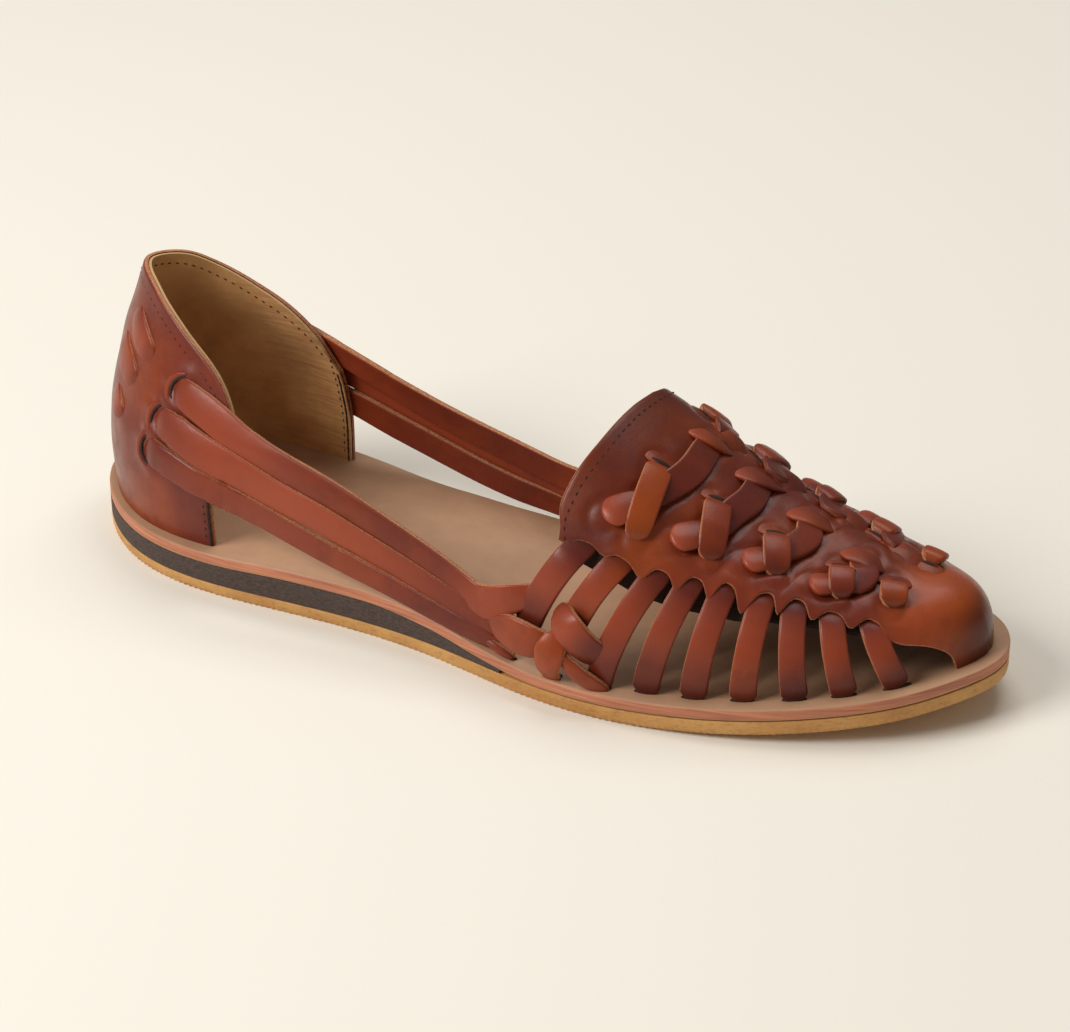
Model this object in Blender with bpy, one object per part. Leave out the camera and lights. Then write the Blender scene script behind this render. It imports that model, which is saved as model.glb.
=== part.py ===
"""Woven leather flat, right foot, size 38.

Three sole layers (crepe outsole, dark wedge, leather footbed) and one hollow leather upper:
a woven vamp standing on side straps, a high heel counter, and three long straps a side
that run from slots in the counter to a knot beside the ball.

Sizes are in millimetres in the shoe's own frame: X runs from the heel's back (0) to the toe,
Y to the inner (medial) side, and Z up from the floor. Everything hangs on an empty that
moves the box's bottom centre to the world's origin and scales nothing.
"""

import bmesh
import bpy
import numpy as np

MM = 0.001
GAP = 0.3  # between two sole layers
FOOT_GAP = 0.45  # between the footbed and the upper's outer face, whose inner edge lies lower
LATERAL = -1.0
MEDIAL = 1.0

HEEL_STATION = 0.0
TOE_STATION = 254.0
TOE_SIDE = 7.0  # the toe's tip lies on the inner side of the centre line
SPRING_START = 155.0
TOE_SPRING = 8.7
FOOTBED_THICKNESS = 3.2
WEDGE_END = 138.5
SOLE_SECTIONS = 46
TIP_HALF = 0.4  # half the width of a sole layer's first and last section

FEATHER_INSET = 4.2  # the upper's foot lies this far inside the sole's edge
VAMP_WALL = 1.8
COUNTER_WALL = 2.0
STRAP_THICKNESS = 1.8

COUNTER_FRONT = 58.5
COUNTER_COLUMNS = 18  # each side of the back seam
COUNTER_ROWS = 7
COUNTER_LEAN = 0.06  # sideways lean of the counter's middle, per millimetre of station
COUNTER_LEAN_EASE = 0.0007  # by this much less for each millimetre of height
COUNTER_CURL = 3.0  # the front edge's lower corner turns in by this much on the outer side
COUNTER_CURL_LENGTH = 7.5
COUNTER_CURL_TOP = 44.0
COUNTER_CURL_EASE = 20.0

TOP_GAP = 1.6  # between two side straps, along the shoe, where they enter the band
FOOT_WIDTH = 7.5  # of a side strap where it meets the footbed
END_TOP_HALF = 4.1  # half the width of the first and last side strap, at the band
NOSE_START = 228.0
NOSE_POWER = 3.2
SIDE_POWER = 0.9
HEIGHT_POWER = 0.99
SIDE_BULGE = 0.8
NOSE_COLUMNS = 8
LOW_ROWS = 4  # from the footbed to the band's lower edge
BAND_ROWS = 14  # from one side's lower edge over the crest to the other's
CAP_EDGE = 30.0  # where the cut-out beside the cap ends, in degrees round the vamp
CAP_TOP = 237.5
CAP_FOOT_LATERAL = 245.4
CAP_FOOT_MEDIAL = 246.0


def table(names, rows):
    """The rows as one array per column name."""
    return dict(zip(names.split(), np.array(rows, dtype=float).T))


# Sole edge: each side's distance from the centre line at a station.
OUTLINE = table("station lateral medial", [
    (4, -12.0, 13.0),
    (12, -22.0, 21.5),
    (26, -31.5, 28.0),
    (44, -36.0, 30.0),
    (66, -36.0, 26.5),
    (92, -35.0, 22.0),
    (118, -37.0, 23.5),
    (142, -41.5, 29.0),
    (162, -43.0, 35.0),
    (182, -41.0, 39.0),
    (202, -36.0, 39.5),
    (220, -28.5, 37.0),
    (236, -18.5, 31.5),
    (247, -7.0, 24.0),
])

# Thickness of the crepe outsole and of all three layers together.
SOLE = table("station outsole total", [
    (0, 2.7, 11.6),
    (50, 3.2, 12.2),
    (75, 3.4, 13.1),
    (95, 3.5, 13.1),
    (115, 3.7, 11.5),
    (135, 3.9, 8.6),
    (150, 3.9, 7.4),
    (255, 3.9, 7.4),
])

# The vamp's top line: where it lies sideways, and its height over the footbed.
CREST = table("station side height", [
    (145, 7.7, 63.5),
    (150, 7.7, 61.5),
    (162, 7.7, 55.5),
    (175, 7.7, 46.8),
    (190, 7.8, 37.9),
    (205, 8.0, 30.9),
    (220, 7.8, 25.1),
    (235, 7.2, 20.4),
    (252, 7.0, 17.4),
])

# The nine side straps: station of each strap's foot and top, how far round the vamp its top
# lies (degrees from its own side's foot), and where the band ends in the gap in front of it.
SIDE_STRAPS = table("lateral_foot lateral_top lateral_round lateral_edge"
                    " medial_foot medial_top medial_round medial_edge", [
    (141, 157.3, 36.5, 29.5, 139.0, 151.8, 31.0, 24.0),
    (152, 167.5, 37.8, 29.2, 150.5, 163.9, 33.5, 24.5),
    (165, 177.0, 40.8, 30.5, 163.0, 174.6, 38.8, 30.0),
    (177, 184.9, 44.0, 32.5, 174.0, 182.5, 41.8, 33.0),
    (189, 192.5, 47.0, 34.2, 185.5, 190.4, 46.8, 34.2),
    (201, 201.4, 49.0, 38.0, 197.5, 200.1, 50.0, 37.5),
    (213, 208.5, 50.5, 39.8, 209.5, 207.1, 49.0, 39.5),
    (224, 217.4, 49.0, 39.0, 221.5, 217.4, 51.0, 39.0),
    (235, 226.6, 48.0, 34.0, 233.0, 226.6, 54.0, 36.0),
])

# The throat's edge, from the outer side over the crest to the inner side.
THROAT = table("around station", [
    (29, 151.8),
    (33, 153.3),
    (36, 150.2),
    (39, 148.9),
    (46, 149.7),
    (64, 153.4),
    (79, 155.5),
    (95, 156.8),
    (103, 155.0),
    (123, 149.2),
    (139, 143.9),
    (147, 143.4),
    (153, 144.2),
    (156, 147.1),
])

# The counter over its foot line: where its back lies, its width against the foot's, and
# where its front edge lies on each side.
COUNTER = table("height back width lateral_front medial_front", [
    (12, 2.0, 1.02, 54.5, 60.5),
    (25, 1.2, 1.04, 54.5, 60.0),
    (35, 1.7, 1.01, 56.0, 59.0),
    (42, 2.8, 0.94, 58.0, 58.5),
    (48, 4.2, 0.86, 58.5, 58.5),
    (58, 7.0, 0.72, 58.5, 58.5),
    (66, 9.8, 0.635, 58.5, 58.5),
    (75, 12.8, 0.56, 58.5, 58.5),
])

COLLAR = table("station height", [
    (12.5, 74.8),
    (19, 73.8),
    (27, 70.3),
    (36, 65.4),
    (47, 58.4),
    (53, 51.5),
    (56.5, 44.0),
    (60, 38.0),
])

# Straps and knot pieces: each row is a point of the centre line by its station, its height
# over the floor, how far it stands proud of the upper's side, half its width, and its roll.
BAND_COLUMNS = "station height proud half roll"
LATERAL_BANDS = {
    "strap_high": [
        (35, 53.5, -1.2, 5.0, 0),
        (39, 52.5, 0.1, 5.2, 0),
        (50, 50.0, 0.2, 5.2, 0),
        (62, 46.0, 0.6, 5.0, 0),
        (78, 39.5, 0.5, 4.0, 0),
        (101, 31.5, 0.5, 3.7, 0),
        (120, 24.5, 0.8, 3.7, 0),
        (134, 19.5, 0.6, 3.6, 0),
    ],
    "strap_middle": [
        (27, 40.0, -1.2, 4.0, 0),
        (31, 39.5, 0.1, 4.3, 0),
        (46, 37.8, 0.2, 4.3, 0),
        (62, 34.4, 0.0, 4.2, 0),
        (78, 30.2, -0.4, 3.8, 0),
        (101, 23.8, -0.6, 3.7, 0),
        (120, 17.5, -0.5, 3.6, 0),
        (135, 13.2, -0.4, 3.5, 0),
    ],
    "strap_low": [
        (20, 28.5, -1.2, 4.0, 0),
        (25, 28.3, 0.1, 4.3, 0),
        (44, 27.6, 0.2, 4.3, 0),
        (62, 25.6, 0.6, 4.2, 0),
        (78, 22.4, 0.8, 3.8, 0),
        (101, 18.3, 0.9, 3.7, 0),
        (120, 15.0, 0.9, 3.6, 0),
        (136, 12.8, 0.5, 3.3, 0),
    ],
    "knot_leaf": [
        (129, 21.5, 1.9, 2.2, 0),
        (136, 24.0, 2.4, 3.6, 0),
        (145, 27.8, 1.0, 2.4, 0),
    ],
    "knot_wrap": [
        (131, 17.3, 0.2, 3.0, 0),
        (138, 18.0, 2.4, 4.4, 0),
        (145, 16.0, 2.8, 4.4, 0),
        (150.5, 13.6, 1.5, 3.8, 0),
        (154, 12.6, 0.1, 3.0, 0),
    ],
    "knot_twist": [
        (151, 24.5, 0.3, 3.2, 0),
        (155, 21.5, 1.8, 4.2, 12),
        (159, 16.0, 2.2, 4.2, 25),
        (160.5, 12.0, 1.4, 3.6, 15),
        (161, 9.6, 0.6, 3.0, 0),
    ],
}
MEDIAL_BANDS = {
    "strap_high": [
        (35, 52.5, -1.2, 4.2, 0),
        (39, 52.0, 0.1, 4.4, 0),
        (50, 49.5, 0.2, 4.4, 0),
        (62, 45.5, 0.6, 4.3, 0),
        (78, 39.3, 0.5, 4.0, 0),
        (101, 31.8, 0.5, 3.8, 0),
        (120, 25.0, 0.8, 3.7, 0),
        (134, 19.5, 0.6, 3.6, 0),
    ],
    "strap_middle": [
        (27, 39.0, -1.2, 4.0, 0),
        (31, 38.0, 0.1, 4.3, 0),
        (46, 34.5, 0.2, 4.3, 0),
        (62, 30.8, 0.0, 4.0, 0),
        (78, 26.6, -0.4, 3.8, 0),
        (101, 20.5, -0.6, 3.7, 0),
        (120, 15.5, -0.5, 3.6, 0),
        (135, 13.0, -0.4, 3.4, 0),
    ],
    "strap_low": [
        (20, 28.5, -1.2, 4.0, 0),
        (25, 28.0, 0.1, 4.3, 0),
        (44, 25.5, 0.2, 4.3, 0),
        (62, 22.6, 0.6, 4.0, 0),
        (78, 19.6, 0.8, 3.8, 0),
        (101, 17.8, 0.9, 3.7, 0),
        (120, 15.6, 0.9, 3.6, 0),
        (136, 13.0, 0.5, 3.3, 0),
    ],
    "knot_leaf": [
        (129, 21.5, 1.9, 2.2, 0),
        (136, 24.0, 2.4, 3.6, 0),
        (145, 27.8, 1.0, 2.4, 0),
    ],
    "knot_wrap": [
        (131, 17.3, 0.2, 3.0, 0),
        (138, 18.0, 2.4, 4.4, 0),
        (145, 16.0, 2.8, 4.4, 0),
        (149.5, 13.6, 1.5, 3.8, 0),
        (152.5, 12.6, 0.1, 3.0, 0),
    ],
    "knot_twist": [
        (149, 24.5, 0.3, 3.2, 0),
        (153, 21.5, 1.8, 4.2, -12),
        (157, 16.0, 2.2, 4.2, -25),
        (158.5, 12.0, 1.4, 3.6, -15),
        (159, 9.6, 0.6, 3.0, 0),
    ],
}
BAND_STEP = 4.5  # between two sections of a strap


def smooth(columns, name, at):
    """A named column over the table's first one, on a cubic that makes no new highs or lows."""
    x = next(iter(columns.values()))
    y = columns[name]
    step = np.diff(x)
    slope = np.diff(y) / step
    rising_on = slope[:-1] * slope[1:] > 0
    before = 2 * step[1:] + step[:-1]
    after = step[1:] + 2 * step[:-1]
    weighted = np.where(rising_on, before * slope[1:] + after * slope[:-1], 1.0)
    middle = np.where(rising_on, (before + after) * slope[:-1] * slope[1:] / weighted, 0.0)
    tangent = np.concatenate([slope[:1], middle, slope[-1:]])
    at = np.clip(np.asarray(at, dtype=float), x[0], x[-1])
    i = np.clip(np.searchsorted(x, at, side="right") - 1, 0, len(step) - 1)
    t = (at - x[i]) / step[i]
    rise = t * t * (3 - 2 * t)
    bend = step[i] * t * (1 - t) * ((1 - t) * tangent[i] - t * tangent[i + 1])
    return y[i] * (1 - rise) + y[i + 1] * rise + bend


def spline(points, count, closed=False):
    """Evenly spaced points of the natural cubic through the given ones."""
    points = np.asarray(points, dtype=float)
    if closed:
        points = np.vstack([points, points[:1]])
    step = np.linalg.norm(np.diff(points, axis=0), axis=1)
    slope = np.diff(points, axis=0) / step[:, None]
    size = len(points)
    matrix = np.zeros((size, size))
    right = np.zeros(points.shape)
    for i in range(1, size - 1):
        matrix[i, i - 1:i + 2] = step[i - 1], 2 * (step[i - 1] + step[i]), step[i]
        right[i] = 6 * (slope[i] - slope[i - 1])
    matrix[0, 0] = 1.0
    matrix[-1, -1] = 1.0
    if closed:
        matrix[0, -1] = -1.0
        matrix[-1, [0, 1]] = 2 * step[0], step[0]
        matrix[-1, [-2, -1]] = step[-1], 2 * step[-1]
        right[-1] = 6 * (slope[0] - slope[-1])
    bend = np.linalg.solve(matrix, right)
    place = np.concatenate([[0.0], np.cumsum(step)])
    at = np.linspace(0.0, place[-1], count)
    i = np.clip(np.searchsorted(place, at, side="right") - 1, 0, size - 2)
    h = step[i][:, None]
    t = ((at - place[i]) / step[i])[:, None]
    chord = (1 - t) * points[i] + t * points[i + 1]
    return chord + h * h / 6 * (((1 - t) ** 3 - (1 - t)) * bend[i] + (t ** 3 - t) * bend[i + 1])


def outline_loop():
    """The sole's edge as a closed loop, from the heel along the outer side to the toe and back."""
    outer = np.column_stack([OUTLINE["station"], OUTLINE["lateral"]])
    inner = np.column_stack([OUTLINE["station"], OUTLINE["medial"]])[::-1]
    heel = [[HEEL_STATION, 0.0]]
    toe = [[TOE_STATION, TOE_SIDE]]
    return spline(np.vstack([heel, outer, toe, inner]), 1201, closed=True)[:-1]


def inset(loop, distance):
    """The loop moved inwards."""
    along = np.roll(loop, -1, axis=0) - np.roll(loop, 1, axis=0)
    along /= np.linalg.norm(along, axis=1)[:, None]
    return loop + distance * np.column_stack([-along[:, 1], along[:, 0]])


def sides(loop):
    """The loop's outer and inner side, each from its heel end to its toe end."""
    loop = np.roll(loop, -loop[:, 0].argmin(), axis=0)
    toe = loop[:, 0].argmax()
    inner = np.vstack([loop[toe:], loop[:1]])[::-1]
    return {LATERAL: loop[:toe + 1], MEDIAL: inner}


EDGE = outline_loop()
FEATHER = sides(inset(EDGE, FEATHER_INSET))
NOSE_END = FEATHER[LATERAL][-1, 0]
CENTRE = (EDGE.min(axis=0) + EDGE.max(axis=0)) / 2


def side_at(line, station):
    """Distance of a side's line from the centre line."""
    return np.interp(station, line[:, 0], line[:, 1])


def ground(station):
    """Height of the sole's underside: flat to the ball, then rising to the toe."""
    ahead = (np.asarray(station, dtype=float) - SPRING_START) / (TOE_STATION - SPRING_START)
    return TOE_SPRING * np.clip(ahead, 0.0, None) ** 2


def outsole_top(station):
    return ground(station) + smooth(SOLE, "outsole", station)


def footbed_top(station):
    return ground(station) + smooth(SOLE, "total", station)


def footbed_bottom(station):
    return footbed_top(station) - FOOTBED_THICKNESS


def outward(angle):
    """+1 on the vamp's outer half, -1 on its inner half."""
    return np.where(np.cos(angle) > 0, 1.0, -1.0)


def vamp_point(station, around):
    """The vamp's outer face. Around runs from 0 at the outer foot over 90 at the top to 180."""
    station, around = np.broadcast_arrays(np.asarray(station, float), np.asarray(around, float))
    angle = np.radians(around)
    lean = np.abs(np.cos(angle)) ** SIDE_POWER
    lift = np.clip(np.sin(angle), 0.0, 1.0) ** HEIGHT_POWER
    middle = smooth(CREST, "side", station)
    nose = np.clip((station - NOSE_START) / (NOSE_END - NOSE_START), 0.0, 1.0)
    height = smooth(CREST, "height", station) * (1 - nose ** NOSE_POWER) ** (1 / NOSE_POWER)
    lateral = middle - side_at(FEATHER[LATERAL], station)
    medial = side_at(FEATHER[MEDIAL], station) - middle
    half = np.where(np.cos(angle) > 0, lateral, medial)
    low = np.minimum(angle, np.pi - angle)
    bulge = SIDE_BULGE * np.sin(2 * low) ** 2 * np.clip((NOSE_END - station) / 25, 0.0, 1.0)
    y = middle - outward(angle) * (half * lean + bulge)
    base = footbed_top(station) + FOOT_GAP
    return np.stack([station, y, base + (height - FOOT_GAP) * lift], axis=-1)


def counter_point(turn, height):
    """The counter's outer face. Turn runs from -1 at the outer front edge to +1 at the inner."""
    turn, height = np.broadcast_arrays(np.asarray(turn, float), np.asarray(height, float))
    foot = np.zeros(turn.shape + (2,))
    for side in (LATERAL, MEDIAL):
        line = FEATHER[side]
        line = line[line[:, 0] <= COUNTER_FRONT]
        place = np.concatenate([[0.0], np.cumsum(np.linalg.norm(np.diff(line, axis=0), axis=1))])
        place /= place[-1]
        here = turn * side >= 0
        foot[here, 0] = np.interp(np.abs(turn[here]), place, line[:, 0])
        foot[here, 1] = np.interp(np.abs(turn[here]), place, line[:, 1])
    back = smooth(COUNTER, "back", height)
    start = FEATHER[LATERAL][0, 0]
    lateral_front = smooth(COUNTER, "lateral_front", height)
    medial_front = smooth(COUNTER, "medial_front", height)
    front = np.where(turn < 0, lateral_front, medial_front)
    x = back + (foot[..., 0] - start) * (front - back) / (COUNTER_FRONT - start)
    lean = COUNTER_LEAN - COUNTER_LEAN_EASE * (height - SOLE["total"][1])
    middle = -lean * x
    y = middle + (foot[..., 1] - middle) * smooth(COUNTER, "width", height)
    near_front = np.clip((x - front) / COUNTER_CURL_LENGTH + 1, 0.0, 1.0) ** 2
    low_down = np.clip((COUNTER_CURL_TOP - height) / COUNTER_CURL_EASE, 0.0, 1.0)
    curl = COUNTER_CURL * near_front * low_down * (turn < 0)
    return np.stack([x, y + curl, height], axis=-1)


def collar_height(turn):
    """Height of the counter's top edge, where it meets the collar line."""
    height = np.full(np.shape(turn), 60.0)
    for _ in range(12):
        height = smooth(COLLAR, "height", counter_point(turn, height)[..., 0])
    return height


def side_y(station, height, side):
    """Where the upper's outer face lies sideways, at the counter, the waist or the vamp."""
    waist = (COUNTER_FRONT, 141.0)
    if station <= waist[0]:
        turn = np.linspace(0.0, side, 120)
        line = counter_point(turn, np.full(120, height))
        return np.interp(station, line[:, 0], line[:, 1])
    if station >= waist[1]:
        around = np.linspace(0.0, 90.0, 120)
        line = vamp_point(station, around if side == LATERAL else 180 - around)
        return np.interp(height, line[:, 2], line[:, 1])
    share = (station - waist[0]) / (waist[1] - waist[0])
    ends = [side_y(at, height, side) for at in waist]
    return ends[0] * (1 - share) + ends[1] * share


def side_frame(station, height, side):
    """A point on the upper's side and the direction that faces out of it."""
    y = side_y(station, height, side)
    along = side_y(station + 1, height, side) - side_y(station - 1, height, side)
    up = side_y(station, height + 1, side) - side_y(station, height - 1, side)
    out = side * np.array([-along / 2, 1.0, -up / 2])
    return np.array([station, y, height]), out / np.linalg.norm(out)


def material(name, colour, roughness):
    made = bpy.data.materials.new(name)
    made.use_nodes = True
    shader = made.node_tree.nodes["Principled BSDF"]
    shader.inputs["Base Color"].default_value = (*colour, 1.0)
    shader.inputs["Roughness"].default_value = roughness
    shader.inputs["Metallic"].default_value = 0.0
    return made


def mesh_object(name, points, faces, finish, parent):
    """An object from points in the shoe's frame, in millimetres."""
    mesh = bpy.data.meshes.new(name)
    mesh.from_pydata([tuple(p) for p in np.asarray(points) * MM], [], faces)
    mesh.materials.append(finish)
    mesh.shade_smooth()
    mesh.set_sharp_from_angle(angle=np.radians(40))
    made = bpy.data.objects.new(name, mesh)
    made.parent = parent
    bpy.context.collection.objects.link(made)
    return made


def grid_faces(rows, columns, keep=None):
    """Quads of a grid of points numbered row by row, leaving out those that keep says."""
    faces = []
    for i in range(rows - 1):
        for j in range(columns - 1):
            if keep is None or keep[i, j]:
                a = i * columns + j
                faces.append((a, a + 1, a + columns + 1, a + columns))
    return faces


def slab(name, end, bottom, top, finish, parent):
    """A sole layer between two height functions: a ladder of rungs across the outline."""
    line = sides(EDGE)
    turn = np.linspace(0.0, np.pi, SOLE_SECTIONS)
    station = TOE_STATION * (1 - np.cos(turn)) / 2
    station = np.concatenate([station[1:-1][station[1:-1] < end], [end]])
    rungs = []
    for x in station:
        for side in (LATERAL, MEDIAL):
            rungs.append((x, side_at(line[side], x)))
    loops = np.array(rungs)
    heel = line[LATERAL][0]
    loops = np.vstack([[heel[0], heel[1] - TIP_HALF], [heel[0], heel[1] + TIP_HALF], loops])
    if end == TOE_STATION:
        loops[-2:, 1] = TOE_SIDE - TIP_HALF, TOE_SIDE + TIP_HALF
    low = np.column_stack([loops, bottom(loops[:, 0])])
    high = np.column_stack([loops, top(loops[:, 0])])
    count = len(loops)
    faces = [(0, count, count + 1, 1), (count - 1, 2 * count - 1, 2 * count - 2, count - 2)]
    for i in range(0, count - 2, 2):
        faces.append((i, i + 1, i + 3, i + 2))
        faces.append((count + i, count + i + 2, count + i + 3, count + i + 1))
        faces.append((i, i + 2, count + i + 2, count + i))
        faces.append((i + 1, count + i + 1, count + i + 3, i + 3))
    return mesh_object(name, np.vstack([low, high]), faces, finish, parent)


def side_strap_lines():
    """The vamp's lines that run across the shoe: station against the way round, for each line.

    Each side strap has a left, a middle and a right line, straight from foot to top on both
    sides. The first is the throat's edge above the band, and the last one the cap's.
    """
    straps = SIDE_STRAPS
    count = len(straps["lateral_foot"])
    lines = []
    for i in range(count):
        offsets = {}
        for side in ("lateral", "medial"):
            top = straps[side + "_top"]
            left = END_TOP_HALF if i == 0 else (top[i] - top[i - 1] - TOP_GAP) / 2
            right = END_TOP_HALF if i == count - 1 else (top[i + 1] - top[i] - TOP_GAP) / 2
            offsets[side] = (-left, 0.0, right)
        for part in range(3):
            foot_shift = (part - 1) * FOOT_WIDTH / 2
            around = [
                0.0,
                straps["lateral_round"][i],
                180 - straps["medial_round"][i],
                180.0,
            ]
            station = [
                straps["lateral_foot"][i] + foot_shift,
                straps["lateral_top"][i] + offsets["lateral"][part],
                straps["medial_top"][i] + offsets["medial"][part],
                straps["medial_foot"][i] + foot_shift,
            ]
            if i == 0 and part == 0:
                around = [0.0, *THROAT["around"], 180.0]
                station = [station[0], *THROAT["station"], station[-1]]
            lines.append((around, station))
    cap = (
        [0.0, CAP_EDGE, 180 - CAP_EDGE, 180.0],
        [CAP_FOOT_LATERAL, CAP_TOP, CAP_TOP, CAP_FOOT_MEDIAL],
    )
    return lines + [cap]


def band_edges():
    """For each line, how far round the band's lower edge lies on the outer and inner side."""
    edges = {}
    for side in ("lateral", "medial"):
        gap = SIDE_STRAPS[side + "_edge"]
        before = np.concatenate([gap[:1], gap[:-1]])
        per_line = np.column_stack([before, (before + gap) / 2, gap]).ravel()
        edges[side] = np.append(per_line, CAP_EDGE)
    return edges


def vamp(finish, parent):
    """The woven vamp and toe cap as one sheet with a wall, open between its side straps."""
    lines = side_strap_lines()
    edges = band_edges()
    columns = []
    for k, (around, station) in enumerate(lines):
        low = edges["lateral"][k]
        high = 180 - edges["medial"][k]
        rows = np.concatenate([
            np.linspace(0.0, low, LOW_ROWS + 1)[:-1],
            np.linspace(low, high, BAND_ROWS + 1)[:-1],
            np.linspace(high, 180.0, LOW_ROWS + 1),
        ])
        columns.append(np.column_stack([np.interp(rows, around, station), rows]))
    last = columns[-1]
    for k in range(1, NOSE_COLUMNS + 1):
        ahead = 1 - (1 - k / NOSE_COLUMNS) ** 2
        station = last[:, 0] + (NOSE_END - last[:, 0]) * ahead
        columns.append(np.column_stack([station, last[:, 1]]))
    grid = np.array(columns)
    rows = grid.shape[1]
    points = vamp_point(grid[..., 0], grid[..., 1])
    keep = np.ones((len(columns) - 1, rows - 1), bool)
    gap_columns = np.arange(2, len(lines), 3)
    keep[np.ix_(gap_columns, np.arange(LOW_ROWS))] = False
    keep[np.ix_(gap_columns, np.arange(rows - 1 - LOW_ROWS, rows - 1))] = False
    faces = [face[::-1] for face in grid_faces(len(columns) - 1, rows, keep)]
    flat = points[:-1].reshape(-1, 3)
    tip = len(flat)
    first = tip - rows
    faces += [(first + j + 1, first + j, tip) for j in range(rows - 1)]
    points = np.vstack([flat, points[-1].mean(axis=0)])
    made = mesh_object("upper", points, faces, finish, parent)
    clean(made)
    return made


def clean(made):
    """Drop the points that no face uses."""
    work = bmesh.new()
    work.from_mesh(made.data)
    loose = [vertex for vertex in work.verts if not vertex.link_faces]
    bmesh.ops.delete(work, geom=loose, context="VERTS")
    work.to_mesh(made.data)
    work.free()


def counter(finish, parent):
    """The heel counter as a sheet from the footbed to the collar."""
    turn = np.linspace(-1.0, 1.0, 2 * COUNTER_COLUMNS + 1)
    top = collar_height(turn)
    share = np.linspace(0.0, 1.0, COUNTER_ROWS + 1)
    foot = footbed_top(0.0) + FOOT_GAP
    grid = []
    for part in share:
        height = foot + part * (top - foot)
        point = counter_point(turn, height)
        point[:, 2] += (1 - part) * (footbed_top(point[:, 0]) - footbed_top(0.0))
        grid.append(point)
    points = np.array(grid).reshape(-1, 3)
    faces = [face[::-1] for face in grid_faces(COUNTER_ROWS + 1, len(turn))]
    return mesh_object("heel_counter", points, faces, finish, parent)


def band(name, rows, side, finish, parent):
    """A leather strap along the upper's side, from its table of points."""
    columns = table(BAND_COLUMNS, rows)
    route = np.column_stack([columns["station"], columns["height"]])
    length = np.linalg.norm(np.diff(route, axis=0), axis=1).sum()
    count = max(7, int(length / BAND_STEP))
    line = spline(np.column_stack(list(columns.values())), count)
    points = []
    places = []
    outs = []
    for station, height, proud, _, _ in line:
        place, out = side_frame(station, height, side)
        places.append(place + out * proud)
        outs.append(out)
    places = np.array(places)
    along = np.gradient(places, axis=0)
    along /= np.linalg.norm(along, axis=1)[:, None]
    for place, out, way, row in zip(places, outs, along, line):
        across = np.cross(way, out)
        across /= np.linalg.norm(across)
        face = np.cross(across, way)
        roll = np.radians(row[4])
        across = across * np.cos(roll) + face * np.sin(roll)
        points.append(place - across * row[3])
        points.append(place + across * row[3])
    made = mesh_object(name, points, grid_faces(len(line), 2), finish, parent)
    wall(made, STRAP_THICKNESS, 0.0)
    return made


def wall(made, thickness, offset):
    """Give a sheet its wall."""
    solidify = made.modifiers.new("wall", "SOLIDIFY")
    solidify.thickness = thickness * MM
    solidify.offset = offset


def join(base, other):
    """Join a hidden piece to the base."""
    other.hide_render = True
    other.display_type = "WIRE"
    union = base.modifiers.new(other.name, "BOOLEAN")
    union.operation = "UNION"
    union.solver = "EXACT"
    union.object = other


def build():
    for old in list(bpy.data.objects):
        bpy.data.objects.remove(old)
    shoe = bpy.data.objects.new("woven_flat", None)
    shoe.location = (-CENTRE[0] * MM, -CENTRE[1] * MM, 0.0)
    bpy.context.collection.objects.link(shoe)

    crepe = material("crepe_rubber", (0.53, 0.32, 0.11), 0.85)
    slab("outsole", TOE_STATION, ground, outsole_top, crepe, shoe)
    dark = material("dark_midsole", (0.09, 0.06, 0.045), 0.75)
    slab(
        "midsole_wedge",
        WEDGE_END,
        lambda x: outsole_top(x) + GAP,
        lambda x: footbed_bottom(x) - GAP,
        dark,
        shoe,
    )
    tan = material("sole_leather", (0.50, 0.24, 0.13), 0.6)
    slab("footbed", TOE_STATION, footbed_bottom, footbed_top, tan, shoe)

    brown = material("brown_leather", (0.20, 0.045, 0.025), 0.4)
    upper = vamp(brown, shoe)
    wall(upper, VAMP_WALL, -1.0)
    heel = counter(brown, shoe)
    wall(heel, COUNTER_WALL, -1.0)
    join(upper, heel)
    for side, name, bands in ((LATERAL, "lateral", LATERAL_BANDS), (MEDIAL, "medial", MEDIAL_BANDS)):
        for piece, rows in bands.items():
            join(upper, band(f"{name}_{piece}", rows, side, brown, shoe))


build()
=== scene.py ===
"""Woven leather flat, right foot, size 38: the finish of every surface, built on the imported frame.

Shapes are worked out in millimetres in the shoe's own frame: X runs from the heel's back (0)
to the toe, Y to the inner (medial) side, and Z up from the floor. put() moves them to the
row's frame, in metres. A side is -1 for the outer (lateral) and +1 for the inner one.
"""

import bmesh
import bpy
import numpy as np
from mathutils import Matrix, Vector


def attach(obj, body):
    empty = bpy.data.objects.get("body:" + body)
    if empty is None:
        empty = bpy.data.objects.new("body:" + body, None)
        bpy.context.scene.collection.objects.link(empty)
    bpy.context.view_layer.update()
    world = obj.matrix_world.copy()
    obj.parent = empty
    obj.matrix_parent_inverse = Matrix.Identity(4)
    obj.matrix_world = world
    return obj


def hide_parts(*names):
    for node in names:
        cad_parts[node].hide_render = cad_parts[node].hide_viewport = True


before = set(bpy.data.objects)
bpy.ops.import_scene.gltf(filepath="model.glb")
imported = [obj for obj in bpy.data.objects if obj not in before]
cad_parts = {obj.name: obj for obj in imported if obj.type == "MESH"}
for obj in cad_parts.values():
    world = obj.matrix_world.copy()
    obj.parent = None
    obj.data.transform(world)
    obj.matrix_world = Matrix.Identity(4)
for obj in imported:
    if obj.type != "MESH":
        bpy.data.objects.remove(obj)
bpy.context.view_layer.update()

MM = 0.001
LATERAL = -1.0
MEDIAL = 1.0
BOTH = (LATERAL, MEDIAL)
SPRING_START = 155.0  # station where the sole leaves the floor
TOE_SPRING = 8.7  # how high the underside stands at the toe
TOE = (254.0, 7.0)
FOOTBED_THICKNESS = 3.2
WEDGE_END = 138.5
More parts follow.
